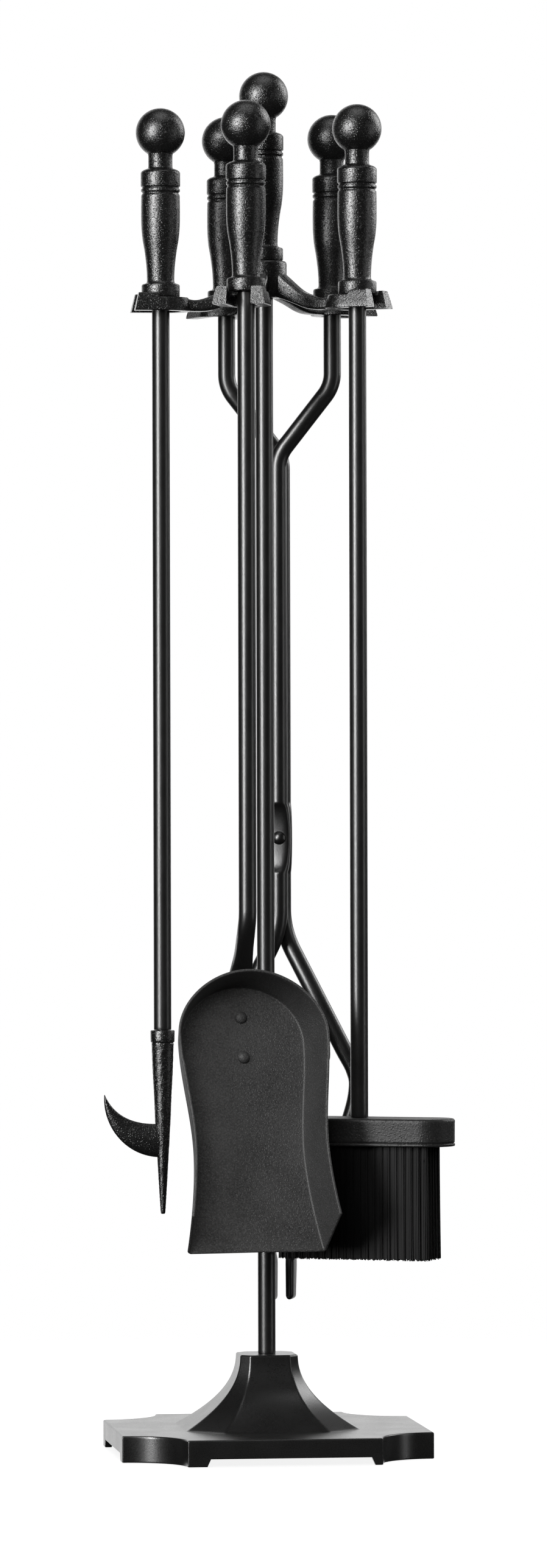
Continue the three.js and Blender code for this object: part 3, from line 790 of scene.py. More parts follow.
@dataclass
class Base(Maker):
    """The cast base: a square plate with bitten corners, four walls on feet, a flared pedestal."""

    half: float = 88.5
    bite: float = 33.5
    top: float = 15.0
    deck: float = 4.5
    wall: float = 4.0
    lift: float = 4.3
    foot: float = 11.0
    short_foot: float = 4.4
    step: float = 2.0
    edge: float = 0.9
    corner: float = 0.8
    head: tuple[float, float] = (16.5, 11.3)
    root: tuple[float, float] = (49.5, 30.0)
    head_z: float = 56.5
    flare: float = 2.2
    casting: float = 5.0
    hole: float = 3.3
    wall_middle: float = 6.5
    side_counts: tuple[int, ...] = (7, 3, 22, 3, 8)
    bend_count: int = 4
    bite_count: int = 30

    @property
    def side_count(self) -> int:
        """How many points a straight wall has."""
        return sum(self.side_counts)

    @staticmethod
    def _quarters(quarter: np.ndarray) -> np.ndarray:
        """A whole outline from its front quarter: each next one is a right angle further round.

        Args:
            quarter: one quarter's points, or one row of them for each of the four.

        Returns:
            The outline's points.
        """
        cos, sin = np.array([[1], [0], [-1], [0]]), np.array([[0], [1], [0], [-1]])
        x, y = quarter[..., 0], quarter[..., 1]
        return np.stack([x * cos - y * sin, x * sin + y * cos], -1).reshape(-1, 2)

    def _marks(self, side: int, end: float) -> np.ndarray:
        """Places along one wall, with points at both edges of each foot's slanted step.

        Args:
            side: the number of the wall, 0 being the front.
            end: half the wall's length.

        Returns:
            Distances along the wall from its middle.
        """
        left = self.short_foot if side == 1 else self.foot
        right = self.short_foot if side == 0 else self.foot
        full = self.half - self.bite
        marks = [
            self.corner - end, left - full, left + self.step - full,
            full - right - self.step, full - right, end - self.corner,
        ]
        runs = [
            np.linspace(a, b, n, endpoint=False)
            for a, b, n in zip(marks[:-1], marks[1:], self.side_counts)
        ]
        runs[-1] = np.linspace(marks[-2], marks[-1], self.side_counts[-1])
        return np.concatenate(runs)

    def plate(self, inset: float) -> np.ndarray:
        """The plate's outline drawn in by inset: walls, soft corners and quarter-round bites.

        Args:
            inset: how far inside the full outline it lies.

        Returns:
            The outline's points.
        """
        radius = self.bite + inset
        end = self.half - math.sqrt(radius**2 - inset**2)
        side_y = inset - self.half
        spread = math.degrees(math.asin(inset / radius))
        slide = math.degrees(self.corner / radius)
        centre = (self.half, -self.half)
        bitten = arc(centre, radius, 180 - spread - slide, 90 + spread + slide, self.bite_count)
        t = np.arange(1, self.bend_count + 1) / (self.bend_count + 1)
        leave = bezier([(end - self.corner, side_y), (end, side_y), bitten[0]], t)
        enter_to = (-side_y, self.corner - end)
        enter = bezier([bitten[-1], (-side_y, -end), enter_to], t)
        sides = []
        for side in range(4):
            x = self._marks(side, end)
            wall = np.stack([x, np.full_like(x, side_y)], -1)
            sides.append(np.vstack([wall, leave, bitten, enter]))
        return self._quarters(np.stack(sides))

    def octagon(self, flat: float, facet: float, cut: float) -> np.ndarray:
        """An eight-sided ring with soft corners and as many points as the plate's outline.

        Args:
            flat: distance of the four main sides from the middle.
            facet: half the length of a main side.
            cut: how much of each corner is softened.

        Returns:
            The ring's points.
        """
        slant = np.array([flat - facet, flat - facet]) / (math.sqrt(2) * (flat - facet))
        a, b = np.array([facet, -flat]), np.array([flat, -facet])
        x = np.linspace(cut - facet, facet - cut, self.side_count)
        front = np.stack([x, np.full_like(x, -flat)], -1)
        t = np.arange(1, self.bend_count + 1) / (self.bend_count + 1)
        leave = bezier([front[-1], a, a + slant * cut], t)
        slope = np.linspace(a + slant * cut, b - slant * cut, self.bite_count)
        enter = bezier([slope[-1], b, b + (0, cut)], t)
        return self._quarters(np.vstack([front, leave, slope, enter]))

    def circle(self, radius: float) -> np.ndarray:
        """A round ring with as many points as the plate's outline, starting at its front left.

        Args:
            radius: the ring's radius.

        Returns:
            The ring's points.
        """
        count = len(self.octagon(*self.head, 0.5))
        start = math.degrees(math.atan2(-self.head[0], -self.head[1]))
        return arc((0, 0), radius, start, start + 360 * (count - 1) / count, count)

    def underside(self) -> np.ndarray:
        """Height of the walls' lower edge: 0 at the feet and round the bites, lifted between.

        Returns:
            One height for each point of the outline.
        """
        first, rise, between, fall, last = self.side_counts
        quarter = [
            np.zeros(first), np.linspace(0, 1, rise, endpoint=False), np.ones(between),
            np.linspace(1, 0, fall, endpoint=False), np.zeros(last),
            np.zeros(2 * self.bend_count + self.bite_count),
        ]
        return self.lift * np.tile(np.concatenate(quarter), 4)

    def _ring(self, outline: np.ndarray, z: Any) -> np.ndarray:
        """An outline at a height, or at a height for each of its points."""
        return np.column_stack([outline, z * np.ones(len(outline))])

    def _pedestal(self, z: float, inset: float, cut: float) -> np.ndarray:
        """One ring of the flare: its half widths grow with (depth below the head) ** flare.

        Args:
            z: the ring's height.
            inset: how far inside the outer face it lies.
            cut: how much of each corner is softened.

        Returns:
            The ring's points.
        """
        fall = ((self.head_z - z) / (self.head_z - self.top)) ** self.flare
        flat = mix(self.head[0], self.root[0], fall) - inset
        facet = mix(self.head[1], self.root[1], fall) - inset * 0.45
        return self._ring(self.octagon(flat, facet, cut), z)

    def rings(self) -> np.ndarray:
        """Every ring from the pole's hole over the pedestal, deck and walls and back inside.

        Returns:
            The rings, all with the same number of points.
        """
        ring, e, wall = self._ring, self.edge, self.wall
        bow = np.radians(np.linspace(0, 90, 5))
        head = [ring(self.circle(radius), self.head_z) for radius in (self.hole, 6)]
        for inset, drop in ((1.6, 0), (1.2, 0), (0.7, 0.1), (0.25, 0.4), (0.05, 0.8)):
            flat, facet = self.head[0] - inset, self.head[1] - inset * 0.8
            head.append(ring(self.octagon(flat, facet, 0.7), self.head_z - drop))
        levels = mix(self.head_z - 1.5, self.top + 0.02, np.linspace(0, 1, 34) ** 0.8)
        flared = [self._pedestal(z, 0, mix(0.8, 1.5, k / 33)) for k, z in enumerate(levels)]
        near, far = self.octagon(*self.root, 1.6), self.plate(e + 0.8)
        outlines = [self.octagon(self.root[0] + 0.6, self.root[1] + 0.3, 1.6)]
        outlines += [mix(near, far, 0.35), mix(near, far, 0.7), far, self.plate(e + 0.15)]
        deck = [ring(outline, self.top) for outline in outlines]
        rim = [ring(self.plate(e * (1 - math.sin(b))), self.top - e * (1 - math.cos(b))) for b in bow]
        low, under, roof = self.underside(), self.top - self.deck, self.head_z - 7
        skirt = (
            (0, self.top - e - 0.8), (0, self.wall_middle), (0, low + 0.9), (0, low + 0.45),
            (0.13, low + 0.13), (0.45, low), (0.9, low), (wall - 0.9, low), (wall - 0.3, low),
            (wall, low + 0.5), (wall, under - 1), (wall + 1, under),
        )
        walls = [ring(self.plate(inset), z) for inset, z in skirt]
        cone = [self._pedestal(z, self.casting, 1.0) for z in np.linspace(under, roof, 18)]
        return np.stack([*head, *flared, *deck, *rim, *walls, *cone, ring(self.circle(self.hole), roof)])

    def build(self, at: tuple[float, float]) -> None:
        """Makes the casting.

        Args:
            at: where the pole stands, in millimetres.
        """
        shell = Shell().add(moved(self.rings(), Matrix.Translation((*at, 0))), wrap_rows=True)
        self.make(shell, "base_plate_casting", Slot.BASE, Body.STAND, "base_casting", sharp=30)


@dataclass
class Hanger(Maker):
    """The star casting that holds the tools: a hub, five S-shaped arms and five open hooks."""

    hub: float = 13.0
    bottom: float = 658.6
    top: float = 679.7
    socket: float = 5.3
    socket_top: float = 662.0
    count: int = 5
    first: float = 36.0
    under: float = 650.8
    floor: float = 658.6
    lug_top: float = 661.0
    slot: float = 6.95
    seat: float = 55.2
    half: float = 13.5
    back: float = 57.0
    tip: float = 73.5
    draft: float = 1.8
    lug_centre: float = 58.5
    lug_radius: float = 13.4
    arm_width: float = 10.0
    corner_share: float = 0.09
    corner_drop: float = 0.7

    def _hub(self) -> np.ndarray:
        """The hub's rounded wall with the pole's socket turned into its underside.

        Returns:
            The hub's grid.
        """
        r, low, high = self.hub, self.bottom, self.top
        profile = [
            (3.3, self.socket_top), (self.socket, self.socket_top), (self.socket, low), (r - 3, low),
            (r - 1.6, low + 0.6), (r - 0.5, low + 1.8), (r, low + 3.4), (r, high - 1.6),
            (r - 0.3, high - 0.7), (r - 1, high - 0.1), (r - 1.6, high), (3.3, high),
        ]
        return lathe(np.asarray(profile, float), 72)

    def _arm(self) -> np.ndarray:
        """An arm as a soft-edged box section between its lower and its upper S curve.

        Returns:
            The arm's rings, along X.
        """
        lower = spline([(8, 659.2), (18, 655.9), (27.7, 652.2), (35, 650.9), (46, 650.9)], 60)
        upper = spline([(8, 676), (15, 670.3), (24, 662.9), (30.6, 659.8), (39, 657.4), (46, 658.3)], 60)
        middle = (lower + upper) / 2
        reach = (upper - lower) / 2
        angle = 2 * math.pi * (np.arange(40) + 0.5) / 40
        c, s = superellipse(angle, 0.42, 0.42)
        x = middle[:, :1] + reach[:, :1] * s
        z = middle[:, 1:] + reach[:, 1:] * s
        return np.stack([x, self.arm_width / 2 * c + 0 * x, z], -1)

    def _edges(self) -> tuple[np.ndarray, np.ndarray]:
        """The slot's edge and the outer edge of the U, point for point, from prong to prong.

        Returns:
            The inner edge and the outer edge.
        """
        lug, rest = np.linspace(0, 0.5, 34, endpoint=False), np.linspace(0.5, 1, 14, endpoint=False)
        run = np.concatenate([lug, rest])
        inner = np.stack([mix(self.tip, self.seat, run), np.full_like(run, self.slot)], -1)
        outer = np.stack([mix(self.tip, self.back, run), np.full_like(run, self.half)], -1)
        inner_bow = arc((self.seat, 0), self.slot, 90, 270, 49)
        outer_bow = arc((self.back, 0), self.half, 90, 270, 49)
        flip = np.array([1, -1])
        return (
            np.vstack([inner, inner_bow, (inner * flip)[::-1]]),
            np.vstack([outer, outer_bow, (outer * flip)[::-1]]),
        )

    def _hook(self) -> np.ndarray:
        """A U-shaped plate whose outside leans out downwards and whose prong ends carry lugs.

        A section is a soft-cornered box between both edges. Its top is the floor, raised by the
        lug's height where the distance from the lug's centre passes the lug's radius.

        Returns:
            The hook's rings.
        """
        inner, outer = self._edges()
        soft = arc((0, 0), 1, 180, 90, 5)[:, 0] + 1
        drop = 1 - np.sqrt(1 - (1 - soft) ** 2)
        corner = soft * self.corner_share
        across = np.concatenate([corner, np.linspace(0.14, 0.86, 12), 1 - corner[::-1]])
        crown = np.concatenate([drop, np.zeros(12), drop[::-1]])
        span = outer - inner
        top_xy = inner[:, None] + span[:, None] * across[None, :, None]
        distance = np.linalg.norm(top_xy - (self.lug_centre, 0), axis=-1)
        lug = ease(distance, self.lug_radius - 0.1, self.lug_radius + 0.7)
        raise_to = (self.lug_top - self.floor) * lug * (top_xy[..., 0] > self.lug_centre + 3.2)
        top_z = self.floor + raise_to - self.corner_drop * crown
        sides = np.linspace(0, 1, 7)[1:-1]
        out_z = mix(top_z[:, -1:], self.under, sides)
        out_xy = outer[:, None] + 0 * out_z[..., None]
        low = np.array([0.97, 0.9, 0.5, 0.1, 0.03])
        low_z = np.full((len(inner), 5), self.under) + (0.35, 0, 0, 0, 0.35)
        low_xy = inner[:, None] + span[:, None] * low[None, :, None]
        in_z = mix(self.under, top_z[:, :1], sides)
        in_xy = inner[:, None] + 0 * in_z[..., None]
        xy = np.concatenate([top_xy, out_xy, low_xy, in_xy], 1)
        z = np.concatenate([top_z, out_z, low_z, in_z], 1)
        reach = np.linalg.norm(xy - inner[:, None], axis=-1)
        share = np.clip(reach / np.linalg.norm(span, axis=-1)[:, None], 0, 1)
        depth = np.clip((self.floor - z) / (self.floor - self.under), -0.3, 1)
        centre = np.where(outer[:, :1] > self.back, outer[:, :1], self.back)
        away = outer - np.column_stack([centre, np.zeros(len(outer))])
        away /= np.linalg.norm(away, axis=1, keepdims=True)
        xy = xy + away[:, None] * (self.draft * depth * share)[..., None]
        prong = ease(xy[..., 0], self.tip - 2, self.tip)
        xy[..., 0] += self.draft * depth * prong
        return self._closed_ends(np.concatenate([xy, z[..., None]], -1))

    @staticmethod
    def _closed_ends(rings: np.ndarray) -> np.ndarray:
        """Adds three smaller rings in the plane of each end, which stays flat and sharp-edged.

        Args:
            rings: the loft's rings.

        Returns:
            The rings with the added ones before and after them.
        """
        middle = rings.mean(1, keepdims=True)
        keep = 1 - 0.2 * (1 - np.cos(np.radians([15, 50, 85])))[:, None, None]
        first = middle[0] + (rings[0] - middle[0]) * keep
        last = middle[-1] + (rings[-1] - middle[-1]) * keep
        return np.concatenate([first[::-1], rings, last])

    def build(self, at: tuple[float, float]) -> None:
        """Makes the casting.

        Args:
            at: where the pole stands, in millimetres.
        """
        shell = Shell().add(moved(self._hub(), Matrix.Translation((*at, 0))), wrap_rows=True)
        for i in range(self.count):
            turn = turn_z(self.first + 360 / self.count * i, *at)
            shell.add(moved(self._arm(), turn)).add(moved(self._hook(), turn))
        self.make(shell, "tool_hanger_casting", Slot.CAST, Body.STAND, "tool_hanger", sharp=34)


@dataclass
class Pole(Maker):
    """The stand's pole, from the pedestal's head up into the hanger's socket."""

    def build(self) -> None:
        """Makes the bar, which has no spigots."""
        self.rod("pole_bar", "pole", Body.STAND, Base.head_z, Hanger.socket_top - GAP, upper=0)


@dataclass
class Poker(Maker):
    """The poker's spike with its curved spur."""

    tip_top: float = 241.3
    tip_end: float = 136.6
    bore: float = 3.3
    bore_depth: float = 19.0
    dent: float = 0.07
    point: tuple[float, float] = (-33.5, 205.5)

    def _spike(self) -> np.ndarray:
        """The spike's turned shape, its wall roughened by a few crossed waves a tenth of a mm high.

        Returns:
            The spike's grid.
        """
        taper = spline(
            [(1.3, self.tip_end + 0.7), (2, 148), (2.85, 162), (4.4, 190), (5, 204), (5.75, 217.8),
             (6.3, 233.2)], 90,
        )
        collar = [
            (6.35, 233.7), (6.2, 233.9), (6.2, 234.2), (6.6, 234.5), (6.8, 234.9), (6.85, 236),
            (6.95, self.tip_top - 0.6), (6.75, self.tip_top - 0.15), (6.3, self.tip_top),
        ]
        start = [(0, self.tip_end), (0.8, self.tip_end), (1.15, self.tip_end + 0.2)]
        bottom = self.tip_top - self.bore_depth
        well = [(self.bore, self.tip_top), (self.bore, bottom), (0, bottom)]
        grid = lathe(np.vstack([start, taper, collar, well]), 64)
        angle = np.arctan2(grid[..., 1], grid[..., 0])
        z = grid[..., 2]
        crossed = np.sin(9 * angle + z * 1.9) * np.sin(z * 2.7 - 5 * angle)
        dents = crossed + 0.6 * np.sin(13 * angle - z * 3.3)
        size = self.dent * dents * (z < self.tip_top - 1) * (z > self.tip_end + 0.8)
        outside = np.linalg.norm(grid[..., :2], axis=-1, keepdims=True)
        grid[..., :2] *= 1 + (size[..., None] / np.maximum(outside, 1)) * (outside > 1)
        return grid

    def _spur(self) -> np.ndarray:
        """The spur: a lens-shaped section between two curves that meet at its point.

        Returns:
            The spur's rings.
        """
        t = mix(0.02, 1, np.linspace(0, 1, 56) ** 1.15)
        outer = bezier([self.point, (-35.2, 187), (-21.5, 169.2), (-1.5, 168.8)], t)
        inner = bezier([self.point, (-28.5, 193), (-17.5, 187.2), (-1.5, 188)], t)
        middle, reach = (outer + inner) / 2, (inner - outer) / 2
        thick = mix(0.45, 3.3, np.sqrt(np.linspace(0, 1, len(t))))[:, None]
        angle = 2 * math.pi * np.arange(32) / 32
        c, s = superellipse(angle, 1.25, 0.85)
        x = middle[:, :1] + reach[:, :1] * c
        z = middle[:, 1:] + reach[:, 1:] * c
        return np.stack([x, thick * s, z], -1)

    def build(self) -> None:
        """Makes the rod and the tip."""
        here = Matrix.Translation((*axis_of("poker_rod"), 0))
        spigot = self.bore_depth - 1
        self.rod("poker_bar", "poker_rod", Body.POKER, self.tip_top + GAP, ROD_TOP, lower=spigot)
        shell = Shell().add(moved(self._spike(), here), cap=False).add(moved(self._spur(), here))
        self.make(shell, "poker_spike", Slot.CAST, Body.POKER, "poker_tip", sharp=50)


@dataclass
class Shovel(Maker):
    """The ash shovel: a folded pan riveted to the flattened end of its rod."""

    yaw: float = 8.5
    pitch: float = 15.0
    set_back: float = 20.5
    floor_top: float = 266.0
    sheet: float = 1.5
    depth: float = 27.0
    top_flare: float = 7.0
    shoulder_flare: float = 13.5
    side_flare: float = 12.5
    crease: float = -46.5
    shoulder: tuple[float, float] = (-33.0, 36.0)
    waist: tuple[float, float] = (-94.0, 31.5)
    mouth: tuple[float, float] = (-152.3, 39.1)
    rim_end: float = 14.2
    fold: float = 0.9
    strap: float = 2.0
    strap_half: float = 10.0
    strap_end: float = -50.0
    straight_z: float = 330.0
    bend_z: float = 302.0
    flat_z: float = 308.0
    sway: float = 2.6
    rivets: tuple[float, float] = (-17.2, -40.3)

    def _home(self) -> Matrix:
        """Where the rod stands, turned by the shovel's yaw."""
        return turn_z(self.yaw, *axis_of("shovel_handle"))

    def _pan_frame(self) -> Matrix:
        """The pan's own frame: x across, y up its floor, z out of it."""
        tilt = Matrix.Rotation(math.radians(90 - self.pitch), 4, "X")
        return self._home() @ Matrix.Translation((0, self.set_back, self.floor_top)) @ tilt

    def _half_width(self, v: np.ndarray) -> np.ndarray:
        """Half the floor's width: a cosine from shoulder to waist, a power curve to the mouth.

        Args:
            v: places up the pan, 0 being its top.

        Returns:
            The half width at each place.
        """
        up = np.clip((v - self.waist[0]) / (self.shoulder[0] - self.waist[0]), 0, 1)
        down = np.clip((v - self.waist[0]) / (self.mouth[0] - self.waist[0]), 0, 1)
        upper = mix(self.waist[1], self.shoulder[1], (1 - np.cos(math.pi * up)) / 2)
        return np.where(v > self.waist[0], upper, mix(self.waist[1], self.mouth[1], down**1.7))

    def _edge(self) -> np.ndarray:
        """The floor's edge from the right of the mouth over the round top to the left.

        Returns:
            Plan points of the edge.
        """
        v = np.linspace(self.mouth[0], self.shoulder[0], 72, endpoint=False)
        side = np.stack([self._half_width(v), v], -1)
        angle = np.radians(np.linspace(0, 180, 73))
        crown = np.stack(
            [self.shoulder[1] * np.cos(angle), self.shoulder[0] * (1 - np.sin(angle))], -1
        )
        return np.vstack([side, crown, (side * (-1, 1))[::-1]])

    def _lean(self, v: np.ndarray) -> np.ndarray:
        """How far the wall leans out: little at the top, more from the shoulder, less past the crease."""
        upper = mix(self.top_flare, self.shoulder_flare, ease(v / self.shoulder[0], 0, 1))
        return np.radians(mix(self.side_flare, upper, ease(v, self.crease - 0.5, self.crease + 0.5)))

    def _sheet(self) -> np.ndarray:
        """The inside of the folded sheet: floor, a round fold, then the leaning wall.

        A point of the floor lies on the line from the pan's spine to its edge. Past the fold a
        point is edge + outward·height·tan(lean), and near the mouth it moves up the pan with its
        height, which slants the front of the walls and takes on the width of its new place.

        Returns:
            The sheet's grid, one row for each point of its edge.
        """
        edge = self._edge()
        along = np.gradient(edge, axis=0)
        along /= np.linalg.norm(along, axis=1, keepdims=True)
        outward = np.stack([along[:, 1], -along[:, 0]], -1)
        spine = np.stack([0 * edge[:, 0], np.minimum(edge[:, 1], self.shoulder[0])], -1)
        lean = self._lean(edge[:, 1])
        share = np.array([0, 0.25, 0.5, 0.75, 0.9])
        inner = edge - outward * self.fold
        floor = spine[:, None] + (inner - spine)[:, None] * share[None, :, None]
        bend = np.linspace(0, 1, 7)
        turn = (math.pi / 2 - lean)[:, None] * bend
        radius = self.fold / np.tan((math.pi / 2 - lean) / 2)
        fold_out = radius[:, None] * np.sin(turn)
        fold_up = radius[:, None] * (1 - np.cos(turn))
        folded = inner[:, None] + outward[:, None] * fold_out[..., None]
        rise = mix(fold_up[:, -1:], self.depth, np.linspace(0, 1, 12)[1:])
        wall_out = rise * np.tan(lean)[:, None]
        walls = edge[:, None] + outward[:, None] * wall_out[..., None]
        flat = np.concatenate([floor, folded, walls], 1)
        height = np.concatenate([0 * floor[..., 0], fold_up, rise], 1)
        near_mouth = 1 - ease(edge[:, 1], self.mouth[0], self.waist[0])
        shifted = flat[..., 1] + self.rim_end * height / self.depth * near_mouth[:, None]
        on_side = (edge[:, 1] < self.shoulder[0])[:, None] & (height > 0)
        narrower = self._half_width(shifted) - self._half_width(flat[..., 1])
        flat[..., 0] += np.sign(edge[:, :1]) * narrower * on_side
        flat[..., 1] = shifted
        return np.concatenate([flat, height[..., None]], -1)

    def _build_pan(self) -> None:
        """Makes the pan: the sheet's inside, thickened outwards, its edges softened."""
        shell = Shell().add(moved(self._sheet(), self._pan_frame()), wrap_columns=False, cap=False)
        pan = shell.build("shovel_pan_sheet", Slot.SHEET, self.finishes, 60)
        inward = np.array(self._pan_frame())[:3, 2]
        normals = np.zeros(len(pan.data.polygons) * 3)
        pan.data.polygons.foreach_get("normal", normals)
        if (normals.reshape(-1, 3) @ inward).sum() < 0:
            pan.data.flip_normals()
        wall = pan.modifiers.new("thickness", "SOLIDIFY")
        wall.thickness, wall.offset, wall.use_even_offset = self.sheet * MM, -1.0, True
        soft = pan.modifiers.new("soft_edges", "BEVEL")
        soft.width, soft.segments, soft.limit_method = 0.5 * MM, 2, "ANGLE"
        soft.angle_limit = math.radians(60)
        self.place(pan, Body.SHOVEL, "shovel_pan")

    def _on_pan(self, v: float, height: float) -> tuple[float, float, float]:
        """A place on the pan's middle line, in the shovel's own frame.

        Args:
            v: how far up the pan.
            height: how far in front of the pan's floor.

        Returns:
            The place.
        """
        pitch = math.radians(self.pitch)
        y = self.set_back + v * math.sin(pitch) - height * math.cos(pitch)
        return 0.0, y, self.floor_top + v * math.cos(pitch) + height * math.sin(pitch)

    def _build_rod(self) -> None:
        """Makes the rod, forged flat and bent back behind the pan."""
        behind = -(self.sheet + GAP + self.strap)
        corners = [(0, 0, self.straight_z), (0, 0, self.bend_z)]
        corners += [self._on_pan(9, behind), self._on_pan(-44, behind)]
        run = spline(rounded_path(corners, 9, 14), 120)
        below = self.bend_z - run[:, 2]
        run[:, 0] += self.sway * ease(below, 0, 26) * (1 - ease(below, 27, 51))
        flat = ease(self.flat_z - run[:, 2], 0, 44)
        spread = ease(self.flat_z - run[:, 2], 18, 60)
        half = np.stack([mix(ROD_RADIUS, self.strap_half, spread), mix(ROD_RADIUS, self.strap, flat)], -1)
        power = mix(2.0, 6.0, flat)
        ends = np.array([self._on_pan(v, behind) for v in (-45.5, -47, -48.4, -49.4, self.strap_end)])
        end_half = np.array([(w, self.strap) for w in (9.6, 8.8, 7.4, 5.4, 3)])
        drops = np.array([-SPIGOT_LENGTH, 0, 0.001, 0.4, 2, ROD_TOP - self.straight_z - 5])
        radii = [SPIGOT_RADIUS, SPIGOT_RADIUS, ROD_RADIUS - 0.4, ROD_RADIUS, ROD_RADIUS, ROD_RADIUS]
        shoulder = np.column_stack([np.zeros((len(drops), 2)), ROD_TOP - drops])
        path = np.vstack([shoulder, run, ends])
        halves = np.vstack([np.column_stack([radii, radii]), half, end_half])
        powers = np.concatenate([np.full(len(drops), 2.0), power, np.full(len(ends), 6.0)])
        grid = sweep(path, halves, powers, across=(1, 0, 0), sides=56)
        shell = Shell().add(moved(grid, self._home()))
        self.make(shell, "shovel_bar", Slot.ROD, Body.SHOVEL, "shovel_rod", sharp=35)

    def _build_rivets(self) -> None:
        """Makes two rivets with domed heads inside the pan and set tails behind the strap."""
        tail = -(self.sheet + 2 * GAP + 2 * self.strap) - 0.1
        shank = [
            (0, tail - 1.6), (1.6, tail - 1.5), (2.8, tail - 1), (3.4, tail), (2.3, tail),
            (2.3, GAP), (3.4, GAP),
        ]
        profile = np.vstack([shank, dome(GAP - 1.0, 3.9, 28, 14) * (0.985, 1)])
        for place, v in zip(("upper", "lower"), self.rivets):
            grid = moved(lathe(profile, 40), self._pan_frame() @ Matrix.Translation((0, v, 0)))
            shell = Shell().add(grid, cap=False)
            self.make(shell, f"pan_rivet_{place}", Slot.SHEET, Body.SHOVEL, f"shovel_rivet_{place}")

    def build(self) -> None:
        """Makes the pan, the rod and the rivets."""
        self._build_pan()
        self._build_rod()
        self._build_rivets()


@dataclass
class Brush(Maker):
    """The hearth brush: a moulded block on a rod, filled with tufts of bristle."""

    yaw: float = -26.0
    top: float = 192.2
    bottom: float = 176.6
    length: float = 112.0
    width: float = 34.0
    rounding: float = 1.6
    chance_seed: int = 7
    pack_top: tuple[float, float] = (90.0, 27.5)
    pack_end: tuple[float, float] = (91.0, 28.5)
    pack_bottom: float = 112.0
    tufts: tuple[int, int] = (21, 6)
    filaments: int = 14
    filament: float = 0.42
    pack_corner: float = 5.0

    def _home(self) -> Matrix:
        """Where the rod stands, turned by the brush's yaw."""
        return turn_z(self.yaw, *axis_of("brush_rod"))

    def _stadium(self, inset: float) -> np.ndarray:
        """The block's outline, long with round ends, drawn in by inset.

        Args:
            inset: how far inside the full outline it lies.

        Returns:
            The outline's points.
        """
        core = (self.length - self.width) / 2
        radius = self.width / 2 - inset
        return np.vstack([arc((core, 0), radius, -90, 90, 40), arc((-core, 0), radius, 90, 270, 40)])

    def _build_block(self) -> None:
        """Makes the block: rounded above, with a fine bead round its lower edge."""
        low, high = self.bottom, self.top
        turn = np.radians([0, 18, 36, 54, 72, 90])
        rounding = self.rounding * np.stack([1 - np.cos(turn), np.sin(turn) - 1], -1) + (0, high)
        profile = [
            (6, low), (0.8, low), (0.25, low + 0.15), (0, low + 0.5), (0, low + 1.2), (0.12, low + 1.5),
            (0.5, low + 1.7), (0.5, low + 2.0), (0.2, low + 2.3), (0.15, low + 3.2), (0.1, high - 2.6),
            *rounding, (2.4, high), (6, high),
        ]
        rings = [np.column_stack([self._stadium(inset), np.full(80, z)]) for inset, z in profile]
        shell = Shell().add(moved(np.stack(rings), self._home()))
        self.make(shell, "brush_block_moulding", Slot.BLOCK, Body.BRUSH, "brush_block", sharp=50)

    def _core(self) -> np.ndarray:
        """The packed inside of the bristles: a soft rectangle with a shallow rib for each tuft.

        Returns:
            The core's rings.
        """
        share = np.linspace(0, 1, 9)
        angle = np.linspace(0, 2 * math.pi, 240, endpoint=False)
        c, s = superellipse(angle, 0.18, 0.18)
        length = mix(self.pack_top[0], self.pack_end[0], share)[:, None] / 2 - 1.3
        width = mix(self.pack_top[1], self.pack_end[1], share)[:, None] / 2 - 1.3
        x, y = length * c, width * s
        rib = 0.35 * np.cos(2 * math.pi * x / self._pitch())
        z = mix(self.bottom - GAP, self.pack_bottom + 1.2, share)[:, None]
        limit = np.stack([length, width], -1) + 0.8
        plan = within_corners(np.stack([x, y + rib * np.sign(s)], -1), limit, self.pack_corner - 0.5)
        return np.concatenate([plan, (z + 0 * x)[..., None]], -1)

    def _pitch(self) -> float:
        """The distance between tufts along the block."""
        return (self.pack_top[0] - 4.4) / (self.tufts[0] - 1)

    def _filaments(self) -> np.ndarray:
        """Every filament as a thin four-sided prism that spreads from its tuft.

        In a tuft, filament k stands at the k-th point of a sunflower spiral: its radius grows
        with the square root of k and its angle by the golden angle.

        Returns:
            One small grid for each filament.
        """
        chance = np.random.default_rng(self.chance_seed)
        columns, rows = self.tufts
        x = np.linspace(-1, 1, columns) * (self.pack_top[0] / 2 - 2.2)
        y = np.linspace(-1, 1, rows) * (self.pack_top[1] / 2 - 2.2)
        tuft = np.stack(np.meshgrid(x, y, indexing="ij"), -1).reshape(-1, 1, 2)
        k = np.arange(self.filaments) + 0.5
        spin = k * math.radians(137.5)
        spread = 1.75 * np.sqrt(k / self.filaments)
        offset = np.stack([spread * np.cos(spin), spread * np.sin(spin)], -1)[None]
        foot = (tuft + offset).reshape(-1, 2)
        grow = np.array([self.pack_end[0] / self.pack_top[0], self.pack_end[1] / self.pack_top[1]])
        end = tuft * grow + offset * 1.12 + chance.normal(0, 0.16, (len(tuft), self.filaments, 2))
        spare = self.filament * 1.2
        corner = self.pack_corner - spare
        end = within_corners(end.reshape(-1, 2), np.array(self.pack_end) / 2 - spare, corner)
        foot = within_corners(foot, np.array(self.pack_top) / 2 - spare, corner)
        share = np.linspace(0, 1, 5)[None, :, None]
        line = foot[:, None] + (end - foot)[:, None] * share**1.6
        low = self.pack_bottom + chance.uniform(0, 1.1, len(foot))
        z = mix(self.bottom - GAP, low[:, None], share[..., 0])
        around = np.radians([45, 135, 225, 315])
        ring = self.filament * np.stack([np.cos(around), np.sin(around)], -1)
        thin = mix(1, 0.7, share)[..., None]
        xy = line[:, :, None] + ring * thin
        return np.concatenate([xy, np.broadcast_to(z[:, :, None, None], (*xy.shape[:3], 1))], -1)

